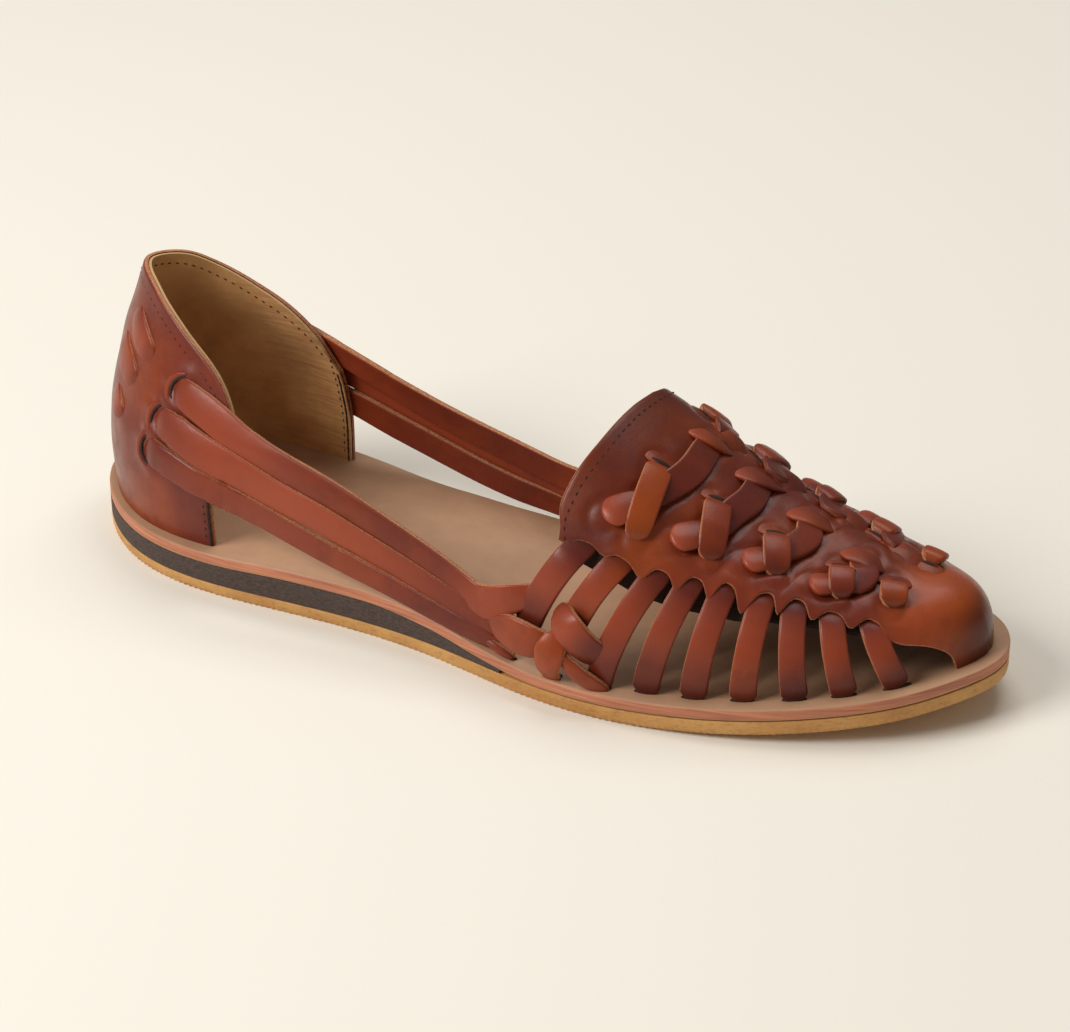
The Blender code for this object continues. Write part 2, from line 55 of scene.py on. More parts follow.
FEATHER_INSET = 4.2  # from the sole's edge to the foot of the upper
FOOT_GAP = 0.45  # from the footbed to the vamp's foot
COUNTER_FRONT = 58.5
VAMP_BACK = 141.0
NOSE_START = 228.0  # station where the vamp starts to close over the toes
NOSE_POWER = 3.2
SHOULDER_POWER = 0.9
RISE_POWER = 0.99
VAMP_LEATHER = 1.1  # thickness of each sheet of leather and each kind of strap
INNER_LAYER = 0.7
COUNTER_LEATHER = 1.2
COUNTER_LINING = 0.9
LONG_STRAP = 1.8
KNOT_STRAP = 1.7  # also the strap that is laced through the counter's back
SIDE_STRAP = 1.6
CREPE_TOOTH = 1.7  # length of a tooth on the crepe's sawn edge
STITCH = (0.5, 0.22, 0.3)  # half length, half width and half height of a stitch as it shows
IN_VAMP = np.array([190.0, 5.0, 12.0])  # points well inside the shoe, for telling out from in
IN_HEEL = np.array([40.0, 0.0, 30.0])
SHARP_FROM = 55  # degrees between two faces from which their edge shows sharp
MARKS = ("cut", "painted_light_and_tone", "warm")  # numbers a point that the materials read

# ---------------------------------------------------------------- tables of the shoe's sizes


def table(names, rows):
    """The rows as one array per column name."""
    return dict(zip(names.split(), np.array(rows, dtype=float).T))


OUTLINE = table("station lateral medial", [
    (4, -12.0, 13.0), (12, -22.0, 21.5), (26, -31.5, 28.0), (44, -36.0, 30.0),
    (66, -36.0, 26.5), (92, -35.0, 22.0), (118, -37.0, 23.5), (142, -41.5, 29.0),
    (162, -43.0, 35.0), (182, -41.0, 39.0), (202, -36.0, 39.5), (220, -28.5, 37.0),
    (236, -18.5, 31.5), (247, -7.0, 24.0),
])
SOLE = table("station outsole total", [
    (0, 2.7, 11.6), (50, 3.2, 12.2), (75, 3.4, 13.1), (95, 3.5, 13.1),
    (115, 3.7, 11.5), (135, 3.9, 8.6), (150, 3.9, 7.4), (255, 3.9, 7.4),
])
CREST = table("station side height", [
    (145, 7.7, 63.5), (150, 7.7, 61.5), (162, 7.7, 55.5), (175, 7.7, 46.8), (190, 7.8, 37.9),
    (205, 8.0, 30.9), (220, 7.8, 25.1), (235, 7.2, 20.4), (252, 7.0, 17.4),
])
COUNTER = table("height back width lateral_front medial_front", [
    (12, 2.0, 1.02, 54.5, 60.5), (25, 1.2, 1.04, 54.5, 60.0), (35, 1.7, 1.01, 56.0, 59.0),
    (42, 2.8, 0.94, 58.0, 58.5), (48, 4.2, 0.86, 58.5, 58.5), (58, 7.0, 0.72, 58.5, 58.5),
    (66, 9.8, 0.635, 58.5, 58.5), (75, 12.8, 0.56, 58.5, 58.5),
])
COLLAR = table("station height", [
    (12.5, 74.8), (19, 73.8), (27, 70.3), (36, 65.4),
    (47, 58.4), (53, 51.5), (56.5, 44.0), (60, 38.0),
])
THROAT = table("around station", [
    (29, 150.3), (33, 150.1), (36, 149.3), (39, 148.8), (46, 149.7), (64, 153.4), (79, 155.5),
    (95, 157.4), (103, 157.2), (123, 152.6), (139, 145.4), (147, 143.8), (153, 144.2), (156, 147.1),
])

# The nine side straps: stations of foot and top, how far round the vamp the top lies from its
# own side's foot, in degrees, and where the band ends in the gap in front of it.
SIDE_STRAPS = {
    LATERAL: table("foot top round edge", [
        (141, 157.3, 36.5, 29.5), (152, 167.5, 37.8, 29.2), (165, 177.0, 40.8, 30.5),
        (177, 184.9, 44.0, 32.5), (189, 192.5, 47.0, 34.2), (201, 201.4, 49.0, 38.0),
        (213, 208.5, 50.5, 39.8), (224, 217.4, 49.0, 39.0), (235, 226.6, 48.0, 35.5),
    ]),
    MEDIAL: table("foot top round edge", [
        (139, 151.8, 31.0, 24.0), (150.5, 163.9, 33.5, 24.5), (163, 174.6, 38.8, 30.0),
        (174, 182.5, 41.8, 33.0), (185.5, 190.4, 46.8, 34.2), (197.5, 200.1, 50.0, 37.5),
        (209.5, 207.1, 49.0, 39.5), (221.5, 217.4, 51.0, 39.0), (233, 226.6, 54.0, 36.0),
    ]),
}

# The cut-out beside the toe cap: how far round the vamp its edge lies at a station.
CAP_CUT = {
    LATERAL: ([231.3, 234.4, 238.4, 242.6, 244.7, 245.3], [35.5, 31.5, 28.5, 20.5, 9.0, -3.0]),
    MEDIAL: ([231.3, 234.4, 238.4, 242.6, 245.3, 246.0], [36.0, 32.0, 28.5, 20.5, 9.0, -3.0]),
}

# The weave, one row of it a line: a strap goes from its leaf (its end, low on the side) under
# an upright strip and over the vamp's top line. Each is a station and degrees from the foot.
WEAVE = {
    LATERAL: table("leaf_x leaf_a under_x under_a out_x out_a top_x half"
                   " strip_top_x strip_top_a strip_low_x strip_low_a strip_half", [
        (160.0, 45.8, 167.8, 56.5, 173.5, 72.0, 175.6, 3.5, 167.5, 70.2, 168.9, 45.4, 3.55),
        (176.4, 51.2, 183.8, 61.0, 187.6, 75.0, 189.3, 3.4, 182.0, 72.8, 186.5, 52.2, 3.6),
        (193.3, 56.8, 199.6, 64.5, 203.4, 75.0, 204.8, 3.2, 197.0, 73.4, 201.8, 57.3, 3.5),
        (209.4, 58.6, 215.6, 63.5, 219.8, 70.0, 221.4, 2.9, 214.2, 72.4, 217.6, 56.6, 3.3),
    ]),
    MEDIAL: table("leaf_x leaf_a under_x under_a out_x out_a top_x half"
                  " strip_top_x strip_top_a strip_low_x strip_low_a strip_half", [
        (157.2, 42.2, 167.0, 56.0, 173.5, 72.0, 175.6, 3.5, 167.4, 72.0, 167.8, 44.6, 3.5),
        (174.6, 49.5, 183.4, 61.0, 187.6, 75.0, 189.3, 3.4, 182.0, 76.0, 185.7, 54.6, 3.5),
        (192.0, 58.5, 199.4, 66.0, 203.4, 76.0, 204.8, 3.2, 199.6, 77.0, 202.6, 61.6, 3.4),
        (208.5, 62.0, 215.4, 67.0, 219.8, 73.0, 221.4, 2.9, 216.4, 80.0, 217.6, 62.0, 3.3),
    ]),
}

# The last upright strip of each side: its top, its foot and half its width.
LAST_STRIP = {
    LATERAL: ((227.2, 74.0), (229.4, 57.5), 3.5),
    MEDIAL: ((231.5, 82.0), (231.0, 64.0), 3.2),
}

# The visors: station and degrees round of the mouth's two ends, how deep it is behind the mouth
# and how far it stands out.
VISORS = {
    LATERAL: [
        (168.3, 86.5, 179.3, 91.0, 8.2, 1.95), (181.8, 85.2, 193.6, 92.4, 9.8, 1.9),
        (196.4, 83.6, 208.6, 87.2, 10.2, 1.8), (212.0, 79.0, 223.8, 78.0, 9.6, 1.65),
    ],
    MEDIAL: [
        (169.9, 77.6, 180.5, 80.0, 7.6, 1.8), (184.8, 76.0, 196.4, 77.0, 7.8, 1.85),
        (202.2, 76.5, 214.0, 78.5, 7.4, 1.7), (218.4, 80.0, 230.2, 82.3, 6.9, 1.55),
    ],
}

# Long straps and knot pieces. Each point is a station, its height over the floor, half the
# width, how far the middle of the leather stands out of the upper's side, and its tilt across.
# The highest strap ends in the knot's leaf.
KNOT = {
    "knot_wrap": [
        (134.0, 17.2, 1.8, 0.9, 0), (138.0, 16.8, 3.6, 2.6, 0), (141.2, 16.7, 4.5, 3.2, 0),
        (144.9, 16.4, 4.7, 3.6, 0), (148.0, 16.2, 4.4, 3.5, 0), (151.0, 15.9, 3.8, 2.8, 0),
        (154.0, 15.2, 3.2, 1.2, 0),
    ],
    "knot_loop": [
        (155.0, 20.6, 2.4, 2.4, -0.2), (154.4, 18.2, 3.2, 4.0, -0.2), (154.0, 15.8, 3.8, 4.9, -0.1),
        (153.6, 13.2, 3.6, 5.0, 0), (153.3, 10.8, 3.0, 4.4, 0), (153.3, 8.5, 2.5, 2.8, 0),
        (153.4, 6.4, 2.2, 1.6, 0),
    ],
    "knot_twist": [
        (153.6, 26.9, 1.6, -0.9, 0), (155.2, 24.6, 3.5, 1.9, 0), (157.7, 22.1, 4.4, 3.4, 0),
        (160.3, 19.9, 4.2, 3.1, 0), (162.9, 17.6, 4.0, 2.0, 0), (166.0, 15.4, 3.4, 0.0, 0),
        (168.0, 13.8, 2.6, -1.6, 0),
    ],
    "knot_end": [
        (155.6, 16.6, 0.9, 2.6, 0), (158.0, 13.9, 1.7, 3.6, 0), (161.0, 11.6, 2.3, 3.6, 0),
        (163.8, 9.8, 2.2, 3.0, 0), (166.2, 8.2, 1.9, 2.0, 0), (168.0, 6.8, 1.4, 1.0, 0),
    ],
    "knot_tail": [
        (133.6, 11.6, 0.7, 1.2, 0), (136.0, 10.7, 1.3, 2.0, 0), (139.0, 9.7, 1.3, 1.9, 0),
        (142.0, 8.4, 1.0, 1.2, 0),
    ],
}
LEAF = [
    (134.4, 22.1, 4.7, 2.3, 0.05), (138.2, 23.7, 4.3, 2.3, 0.1), (142.0, 25.4, 3.6, 1.5, 0.1),
    (145.4, 26.6, 2.9, -0.1, 0), (148.6, 27.2, 2.4, -1.6, 0),
]
BANDS = {
    LATERAL: {
        "strap_high": [
            (34.2, 52.4, 3.2, -1.7, 0), (37.0, 52.0, 3.7, -0.2, 0), (40.5, 51.3, 4.1, 0.8, 0),
            (46, 49.7, 4.4, 1.1, 0), (52, 47.4, 4.4, 1.1, 0), (58, 44.9, 4.2, 1.0, 0),
            (66, 42.2, 4.0, 0.8, 0), (78, 39.3, 3.9, 0.6, 0), (90, 36.0, 3.8, 0.4, 0),
            (106, 30.8, 3.7, 0.4, 0), (118, 26.6, 3.6, 0.5, 0), (126, 23.6, 3.5, 0.9, 0),
            (130.2, 22.2, 3.9, 1.6, 0), *LEAF,
        ],
        "strap_middle": [
            (29.2, 43.6, 3.2, -1.7, 0), (32.0, 43.4, 3.6, -0.2, 0), (35.5, 43.1, 4.0, 1.0, 0),
            (41, 41.9, 4.5, 1.6, 0), (50, 39.4, 4.5, 1.8, 0), (59, 36.9, 4.3, 1.8, 0),
            (69, 33.9, 4.2, 1.6, 0), (82, 30.8, 4.1, 1.4, 0), (94, 27.3, 3.9, 1.3, 0),
            (106, 23.9, 3.8, 1.2, 0), (118, 20.2, 3.7, 1.3, 0), (128, 17.2, 3.6, 1.4, 0),
            (136, 14.9, 3.2, 0.9, 0), (140, 13.8, 2.6, 0.4, 0),
        ],
        "strap_low": [
            (26.8, 35.6, 3.0, -1.7, 0), (29.6, 35.4, 3.3, -0.2, 0), (33, 35.0, 3.6, 1.0, 0),
            (41, 33.5, 3.6, 1.7, 0), (49.5, 31.4, 3.6, 2.2, 0), (57.5, 29.1, 3.7, 2.4, 0),
            (65, 27.0, 3.7, 2.4, 0), (73, 24.8, 3.6, 2.3, 0), (89.5, 20.8, 3.4, 2.1, 0),
            (106, 17.5, 3.1, 2.0, 0), (122, 14.0, 2.8, 2.0, 0), (134, 11.6, 2.4, 1.5, 0),
            (138, 10.6, 2.0, 0.6, 0),
        ],
        **KNOT,
    },
    MEDIAL: {
        "strap_high": [
            (34.2, 51.8, 3.2, -1.7, 0), (37.0, 51.2, 3.7, -0.2, 0), (42, 50.0, 4.1, 0.9, 0),
            (52, 46.9, 4.1, 1.0, 0), (60, 43.9, 4.0, 0.8, 0), (67, 41.0, 3.9, 0.5, 0),
            (75, 37.6, 3.8, 0.3, 0), (90, 32.2, 3.8, 0.2, 0), (106, 28.0, 3.7, 0.2, 0),
            (118, 24.9, 3.7, 0.3, 0), (127, 22.8, 3.7, 0.9, 0), (131, 22.2, 4.0, 1.6, 0), *LEAF,
        ],
        "strap_middle": [
            (28.2, 42.0, 3.2, -1.7, 0), (31.0, 41.8, 3.6, -0.2, 0), (35, 41.3, 4.0, 1.2, 0),
            (46, 39.2, 4.2, 1.9, 0), (62, 36.2, 4.0, 2.2, 0), (75, 32.0, 3.9, 2.2, 0),
            (90, 27.4, 3.8, 2.2, 0), (106, 23.2, 3.7, 2.1, 0), (120, 19.6, 3.6, 1.8, 0),
            (130, 16.8, 3.5, 1.4, 0), (139, 14.2, 3.0, 0.6, 0),
        ],
        "strap_low": [
            (22.2, 32.4, 3.0, -1.7, 0), (25.0, 32.2, 3.4, -0.2, 0), (30, 31.8, 3.8, 1.0, 0),
            (44, 30.6, 4.0, 1.2, 0), (62, 28.6, 3.9, 0.6, 0), (70, 26.4, 3.9, 0.3, 0),
            (80, 23.6, 3.8, 0.2, 0), (95, 19.4, 3.6, 0.2, 0), (110, 15.8, 3.4, 0.5, 0),
            (124, 13.4, 3.0, 1.2, 0), (136, 11.0, 2.4, 1.2, 0),
        ],
        **KNOT,
    },
}

# Lens shaped patches of the strap that is laced through the counter's back, each a line of
# turn, height and half width from its upper to its lower end.
HEEL_PATCHES = [
    ((0.235, 65.2, 2.0), (0.30, 62.6, 3.6), (0.385, 59.4, 3.9), (0.455, 57.2, 3.4), (0.50, 55.4, 2.4)),
    ((0.155, 56.6, 2.0), (0.23, 53.6, 3.6), (0.315, 51.0, 4.0), (0.39, 49.0, 3.5), (0.435, 47.2, 2.4)),
    ((0.245, 43.4, 2.0), (0.30, 41.0, 3.2), (0.36, 38.8, 3.2), (0.40, 36.8, 2.2)),
]

# ---------------------------------------------------------------- curves and surfaces


def eased(x, y, at):
    """The cubic through the points (x, y) that makes no new highs or lows, at the given places."""
    x = np.asarray(x, dtype=float)
    y = np.asarray(y, dtype=float)
    step = np.diff(x)
    slope = np.diff(y) / step
    rising_on = slope[:-1] * slope[1:] > 0
    before = 2 * step[1:] + step[:-1]
    after = step[1:] + 2 * step[:-1]
    weighted = np.where(rising_on, before * slope[1:] + after * slope[:-1], 1.0)
    middle = np.where(rising_on, (before + after) * slope[:-1] * slope[1:] / weighted, 0.0)
    tangent = np.concatenate([slope[:1], middle, slope[-1:]])
    at = np.clip(np.asarray(at, dtype=float), x[0], x[-1])
    i = np.clip(np.searchsorted(x, at, side="right") - 1, 0, len(step) - 1)
    t = (at - x[i]) / step[i]
    rise = t * t * (3 - 2 * t)
    bend = step[i] * t * (1 - t) * ((1 - t) * tangent[i] - t * tangent[i + 1])
    return y[i] * (1 - rise) + y[i + 1] * rise + bend


def smooth(columns, name, at):
    """A named column of a table over its first one, eased."""
    return eased(next(iter(columns.values())), columns[name], at)


def natural(place, values, at, closed=False):
    """The natural cubic (curvature runs straight between points, none at the ends) at places."""
    place = np.asarray(place, dtype=float)
    values = np.asarray(values, dtype=float)
    step = np.diff(place)
    slope = np.diff(values, axis=0) / step[:, None]
    size = len(place)
    matrix = np.zeros((size, size))
    right = np.zeros(values.shape)
    inner = np.arange(1, size - 1)
    matrix[inner, inner - 1] = step[:-1]
    matrix[inner, inner] = 2 * (step[:-1] + step[1:])
    matrix[inner, inner + 1] = step[1:]
    right[inner] = 6 * (slope[1:] - slope[:-1])
    matrix[0, 0] = 1.0
    matrix[-1, -1] = 1.0
    if closed:
        matrix[0, -1] = -1.0
        matrix[-1, [0, 1]] = 2 * step[0], step[0]
        matrix[-1, [-2, -1]] = step[-1], 2 * step[-1]
        right[-1] = 6 * (slope[0] - slope[-1])
    bend = np.linalg.solve(matrix, right)
    i = np.clip(np.searchsorted(place, at, side="right") - 1, 0, size - 2)
    h = step[i][:, None]
    t = ((at - place[i]) / step[i])[:, None]
    chord = (1 - t) * values[i] + t * values[i + 1]
    return chord + h * h / 6 * (((1 - t) ** 3 - (1 - t)) * bend[i] + (t ** 3 - t) * bend[i + 1])


def distances(points):
    """Distance along a line of points, from its first one."""
    return np.concatenate([[0.0], np.cumsum(np.linalg.norm(np.diff(points, axis=0), axis=1))])


def outline_loop():
    """The sole's edge: the closed natural cubic through the outline's points, both sides."""
    outer = np.column_stack([OUTLINE["station"], OUTLINE["lateral"]])
    inner = np.column_stack([OUTLINE["station"], OUTLINE["medial"]])[::-1]
    points = np.vstack([[[0.0, 0.0]], outer, [TOE], inner, [[0.0, 0.0]]])
    place = distances(points)
    return natural(place, points, np.linspace(0.0, place[-1], 2401), closed=True)[:-1]


def inset(loop, distance):
    """The loop moved inwards: each point goes that far at right angles to the edge."""
    along = np.roll(loop, -1, axis=0) - np.roll(loop, 1, axis=0)
    along /= np.linalg.norm(along, axis=1)[:, None]
    return loop + distance * np.column_stack([-along[:, 1], along[:, 0]])


def sides(loop):
    """The loop's outer and inner side, each from its heel end to its toe end."""
    loop = np.roll(loop, -loop[:, 0].argmin(), axis=0)
    toe = loop[:, 0].argmax()
    inner = np.vstack([loop[toe:], loop[:1]])[::-1]
    return {LATERAL: loop[:toe + 1], MEDIAL: inner}


EDGE = outline_loop()
CENTRE = (EDGE.min(axis=0) + EDGE.max(axis=0)) / 2
FEATHER = sides(inset(EDGE, FEATHER_INSET))
NOSE_END = FEATHER[LATERAL][-1, 0]


def side_at(line, station):
    """Distance of a side's line from the centre line, read off between its points."""
    return np.interp(station, line[:, 0], line[:, 1])


def ground(station):
    """Height of the sole's underside: flat to the ball, then rising with the square."""
    ahead = (np.asarray(station, dtype=float) - SPRING_START) / (TOE[0] - SPRING_START)
    return TOE_SPRING * np.clip(ahead, 0.0, None) ** 2


def outsole_top(station):
    """Top of the crepe: its thickness over the ground line."""
    return ground(station) + smooth(SOLE, "outsole", station)


def footbed_top(station):
    """Top of the footbed: the whole sole's thickness over the ground line."""
    return ground(station) + smooth(SOLE, "total", station)


def footbed_bottom(station):
    """Underside of the footbed, its own thickness lower."""
    return footbed_top(station) - FOOTBED_THICKNESS


def signed_power(value, power):
    """The value's size to a power, with its sign."""
    return np.sign(value) * np.abs(value) ** power


def vamp_point(station, around):
    """The vamp's outer face: a half ellipse with a soft shoulder, from the outer foot (0
    degrees) over the top line (90) to the inner foot (180). Its height closes over the nose as
    a superellipse, and below 0 or past 180 it runs on down into the footbed."""
    station, around = np.broadcast_arrays(np.asarray(station, float), np.asarray(around, float))
    angle = np.radians(around)
    middle = smooth(CREST, "side", station)
    nose = np.clip((station - NOSE_START) / (NOSE_END - NOSE_START), 0.0, 1.0)
    height = smooth(CREST, "height", station) * (1 - nose ** NOSE_POWER) ** (1 / NOSE_POWER)
    outer = np.cos(angle) > 0
    lateral = middle - side_at(FEATHER[LATERAL], station)
    medial = side_at(FEATHER[MEDIAL], station) - middle
    half = np.where(outer, lateral, medial)
    low = np.clip(np.minimum(angle, np.pi - angle), 0.0, None)
    bulge = 0.8 * np.sin(2 * low) ** 2 * np.clip((NOSE_END - station) / 25, 0.0, 1.0)
    out = half * np.abs(np.cos(angle)) ** SHOULDER_POWER + bulge
    y = middle - np.where(outer, 1.0, -1.0) * out
    lift = signed_power(np.sin(angle), RISE_POWER)
    z = footbed_top(station) + FOOT_GAP + (height - FOOT_GAP) * lift
    return np.stack([station, y, z], axis=-1)


def counter_point(turn, height):
    """The counter's outer face: the foot line from the outer front edge (turn -1) round the
    back (0) to the inner front edge (1), narrowed and leant by height."""
    turn, height = np.broadcast_arrays(np.asarray(turn, float), np.asarray(height, float))
    foot = np.zeros(turn.shape + (2,))
    for side in BOTH:
        line = FEATHER[side]
        line = line[line[:, 0] <= COUNTER_FRONT]
        place = distances(line)
        place /= place[-1]
        here = turn * side >= 0
        foot[here, 0] = np.interp(np.abs(turn[here]), place, line[:, 0])
        foot[here, 1] = np.interp(np.abs(turn[here]), place, line[:, 1])
    back = smooth(COUNTER, "back", height)
    start = FEATHER[LATERAL][0, 0]
    lateral_front = smooth(COUNTER, "lateral_front", height)
    medial_front = smooth(COUNTER, "medial_front", height)
    front = np.where(turn < 0, lateral_front, medial_front)
    x = back + (foot[..., 0] - start) * (front - back) / (COUNTER_FRONT - start)
    lean = 0.06 - 0.0007 * (height - SOLE["total"][1])
    middle = -lean * x
    y = middle + (foot[..., 1] - middle) * smooth(COUNTER, "width", height)
    near_front = np.clip((x - front) / 7.5 + 1, 0.0, 1.0) ** 2
    low_down = np.clip((44.0 - height) / 20.0, 0.0, 1.0)
    return np.stack([x, y + 3.0 * near_front * low_down * (turn < 0), height], axis=-1)


def collar_height(turn):
    """Height of the counter's top edge: where the wall meets the collar's line, by repetition."""
    height = np.full(np.shape(turn), 60.0)
    for _ in range(12):
        height = smooth(COLLAR, "height", counter_point(turn, height)[..., 0])
    return height


def side_surface(side):
    """The upper's side as a surface of station and height: the counter's face to its front
    edge, the vamp's from its back, and between them a straight blend of the two, all of it
    averaged over 5 mm each way so that the straps bend softly."""

    def out_at(station, height):
        at_back = np.minimum(station, COUNTER_FRONT)
        low = np.zeros(station.shape)
        high = np.ones(station.shape)
        for _ in range(14):
            middle = (low + high) / 2
            short = counter_point(middle * side, height)[..., 0] < at_back
            low = np.where(short, middle, low)
            high = np.where(short, high, middle)
        back = counter_point(low * side, height)[..., 1]
        at_front = np.maximum(station, VAMP_BACK)
        foot = footbed_top(at_front) + FOOT_GAP
        rise = (height - foot) / (smooth(CREST, "height", at_front) - FOOT_GAP)
        around = np.degrees(np.arcsin(np.clip(signed_power(rise, 1 / RISE_POWER), -1, 1)))
        around = around if side == LATERAL else 180 - around
        front = vamp_point(at_front, around)[..., 1]
        share = np.clip((station - COUNTER_FRONT) / (VAMP_BACK - COUNTER_FRONT), 0.0, 1.0)
        return back * (1 - share) + front * share

    def point(station, height):
        station, height = np.broadcast_arrays(np.asarray(station, float), np.asarray(height, float))
        spread = 7.0 * np.clip((station - 38.0) / 12.0, 0.0, 1.0)
        near = (out_at(station + spread * step, height) for step in (-0.75, 0.0, 0.75))
        y = sum(weight * value for weight, value in zip((0.28, 0.44, 0.28), near))
        return np.stack([station, y, height], axis=-1)

    return point


def mirrored(side):
    """The vamp's face with its way round counted from the given side's own foot."""

    def point(station, around):
        around = np.asarray(around, dtype=float)
        return vamp_point(station, around if side == LATERAL else 180 - around)

    return point


def tangents(surface, a, b):
    """The surface's two slopes, by small steps each way."""
    step = 0.004
    along_a = (surface(a + step, b) - surface(a - step, b)) / (2 * step)
    along_b = (surface(a, b + step) - surface(a, b - step)) / (2 * step)
    return along_a, along_b


def facing(surface, a, b, inside):
    """The surface's outward unit direction: its slopes crossed, turned away from a point
    inside the shoe."""
    along_a, along_b = tangents(surface, a, b)
    out = np.cross(along_a, along_b)
    out /= np.maximum(np.linalg.norm(out, axis=-1, keepdims=True), 1e-9)
    away = np.sum(out * (surface(a, b) - inside), axis=-1)
    return out * (1.0 if np.median(away) > 0 else -1.0)


def turned_out(out, points, inside):
    """The directions, each turned away from a point inside the shoe."""
    away = np.sum(out * (points - inside), axis=-1, keepdims=True)
    return np.where(away < 0, -out, out)


def steps_for(basis, offset):
    """How far to go along a surface's two numbers to move by an offset, from its two slopes."""
    moved = np.linalg.lstsq(basis, offset.reshape(-1, 3).T, rcond=None)[0]
    return moved.T.reshape(offset.shape[:-1] + (2,))


def inside_of(points):
    """A point on the shoe's middle below the given ones, for telling out from in."""
    middle = np.asarray(points).reshape(-1, 3).mean(axis=0)
    return np.array([middle[0] if middle[0] > 30 else 45.0, 0.0, 14.0])


# ---------------------------------------------------------------- meshes


def put(points):
    """Points in the shoe's frame, in millimetres, as points in the row's frame, in metres."""
    points = np.asarray(points, dtype=float).reshape(-1, 3)
    return (points - [CENTRE[0], CENTRE[1], 0.0]) * MM


def grid_quads(rows, columns, closed=False):
    """Quads between the points of a grid numbered row by row, closed round its columns or not."""
    last = columns if closed else columns - 1
    i, j = np.meshgrid(np.arange(rows - 1), np.arange(last), indexing="ij")
    k = (j + 1) % columns
    corners = [i * columns + j, i * columns + k, (i + 1) * columns + k, (i + 1) * columns + j]
    return np.stack(corners, axis=-1).reshape(-1, 4)


def gathered(parts):
    """Several parts as one: points, quads and marks one after another, quads renumbered."""
    points = []
    quads = []
    marks = {}
    start = 0
    for part in parts:
        flat = part["points"].reshape(-1, 3)
        points.append(flat)
        quads.append(part["quads"] + start)
        start += len(flat)
        for key in MARKS:
            value = np.broadcast_to(part.get(key, 0.0), part["points"].shape[:-1])
            marks.setdefault(key, []).append(value.ravel())
    marks = {key: np.concatenate(value) for key, value in marks.items()}
    return {"points": np.vstack(points), "quads": np.vstack(quads), **marks}


def piece(name, parts, finish, stands_for=None):
    """One mesh object from grids: points, quads, and three marks a point for its material: cut,
    1 on a raw cut edge, tone, painted shade and painted highlight from -1 (dark) to 1 (light),
    and warm, from -1 (plum) to 1 (orange). It rides on the row's one body, and may stand for a
    solid of the frame."""
    whole = gathered(parts)
    mesh = bpy.data.meshes.new(name)
    mesh.vertices.add(len(whole["points"]))
    mesh.vertices.foreach_set("co", put(whole["points"]).ravel())
    count = len(whole["quads"])
    mesh.loops.add(4 * count)
    mesh.loops.foreach_set("vertex_index", whole["quads"].ravel())
    mesh.polygons.add(count)
    mesh.polygons.foreach_set("loop_start", np.arange(0, 4 * count, 4))
    mesh.update(calc_edges=True)
    for key in MARKS:
        made = mesh.attributes.new(key, "FLOAT", "POINT")
        made.data.foreach_set("value", whole[key].astype(np.float32))
    work = bmesh.new()
    work.from_mesh(mesh)
    bmesh.ops.remove_doubles(work, verts=work.verts, dist=2e-6)
    bmesh.ops.recalc_face_normals(work, faces=work.faces)
    work.to_mesh(mesh)
    work.free()
    mesh.shade_smooth()
    mesh.set_sharp_from_angle(angle=np.radians(SHARP_FROM))
    mesh.materials.append(finish)
    made = bpy.data.objects.new(name, mesh)
    bpy.context.scene.collection.objects.link(made)
    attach(made, "root")
    if stands_for:
        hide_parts(stands_for)


def strap_section():
    """A flat strap's closed section, as four numbers a point: its place across and up as shares
    of the flat part, and across and up as shares of the rounded corner's radius."""
    flat = np.linspace(-1, 1, 9)
    turn = np.radians([78, 62, 45, 28, 10])
    top = np.column_stack([flat, np.ones(9), np.zeros(9), np.ones(9)])
    corner = np.column_stack([np.ones(5), np.ones(5), np.cos(turn), np.sin(turn)])
    lower = corner[::-1] * [1, -1, 1, -1]
    bottom = top[::-2] * [1, -1, 1, -1]
    left = np.vstack([corner, lower])[::-1] * [-1, 1, -1, 1]
    return np.vstack([top, corner, lower, bottom, left])


SECTION = strap_section()


def end_samples(length, half):
    """Places along a strap, close together at its two round ends, and how long an end is."""
    end = min(half, length / 3)
    turn = np.linspace(0.0, np.pi / 2, 9)
    start = end * (1 - np.cos(turn))
    count = max(4, int((length - 2 * end) / 1.1))
    middle = np.linspace(end, length - end, count)[1:-1]
    return np.concatenate([start, middle, (length - start)[::-1]]), end


def rounded(place, end):
    """Share of the full size near a round end: a quarter ellipse over the end's length."""
    inside = np.clip(1 - place / end, 0.0, 1.0)
    return np.sqrt(1 - inside ** 2)


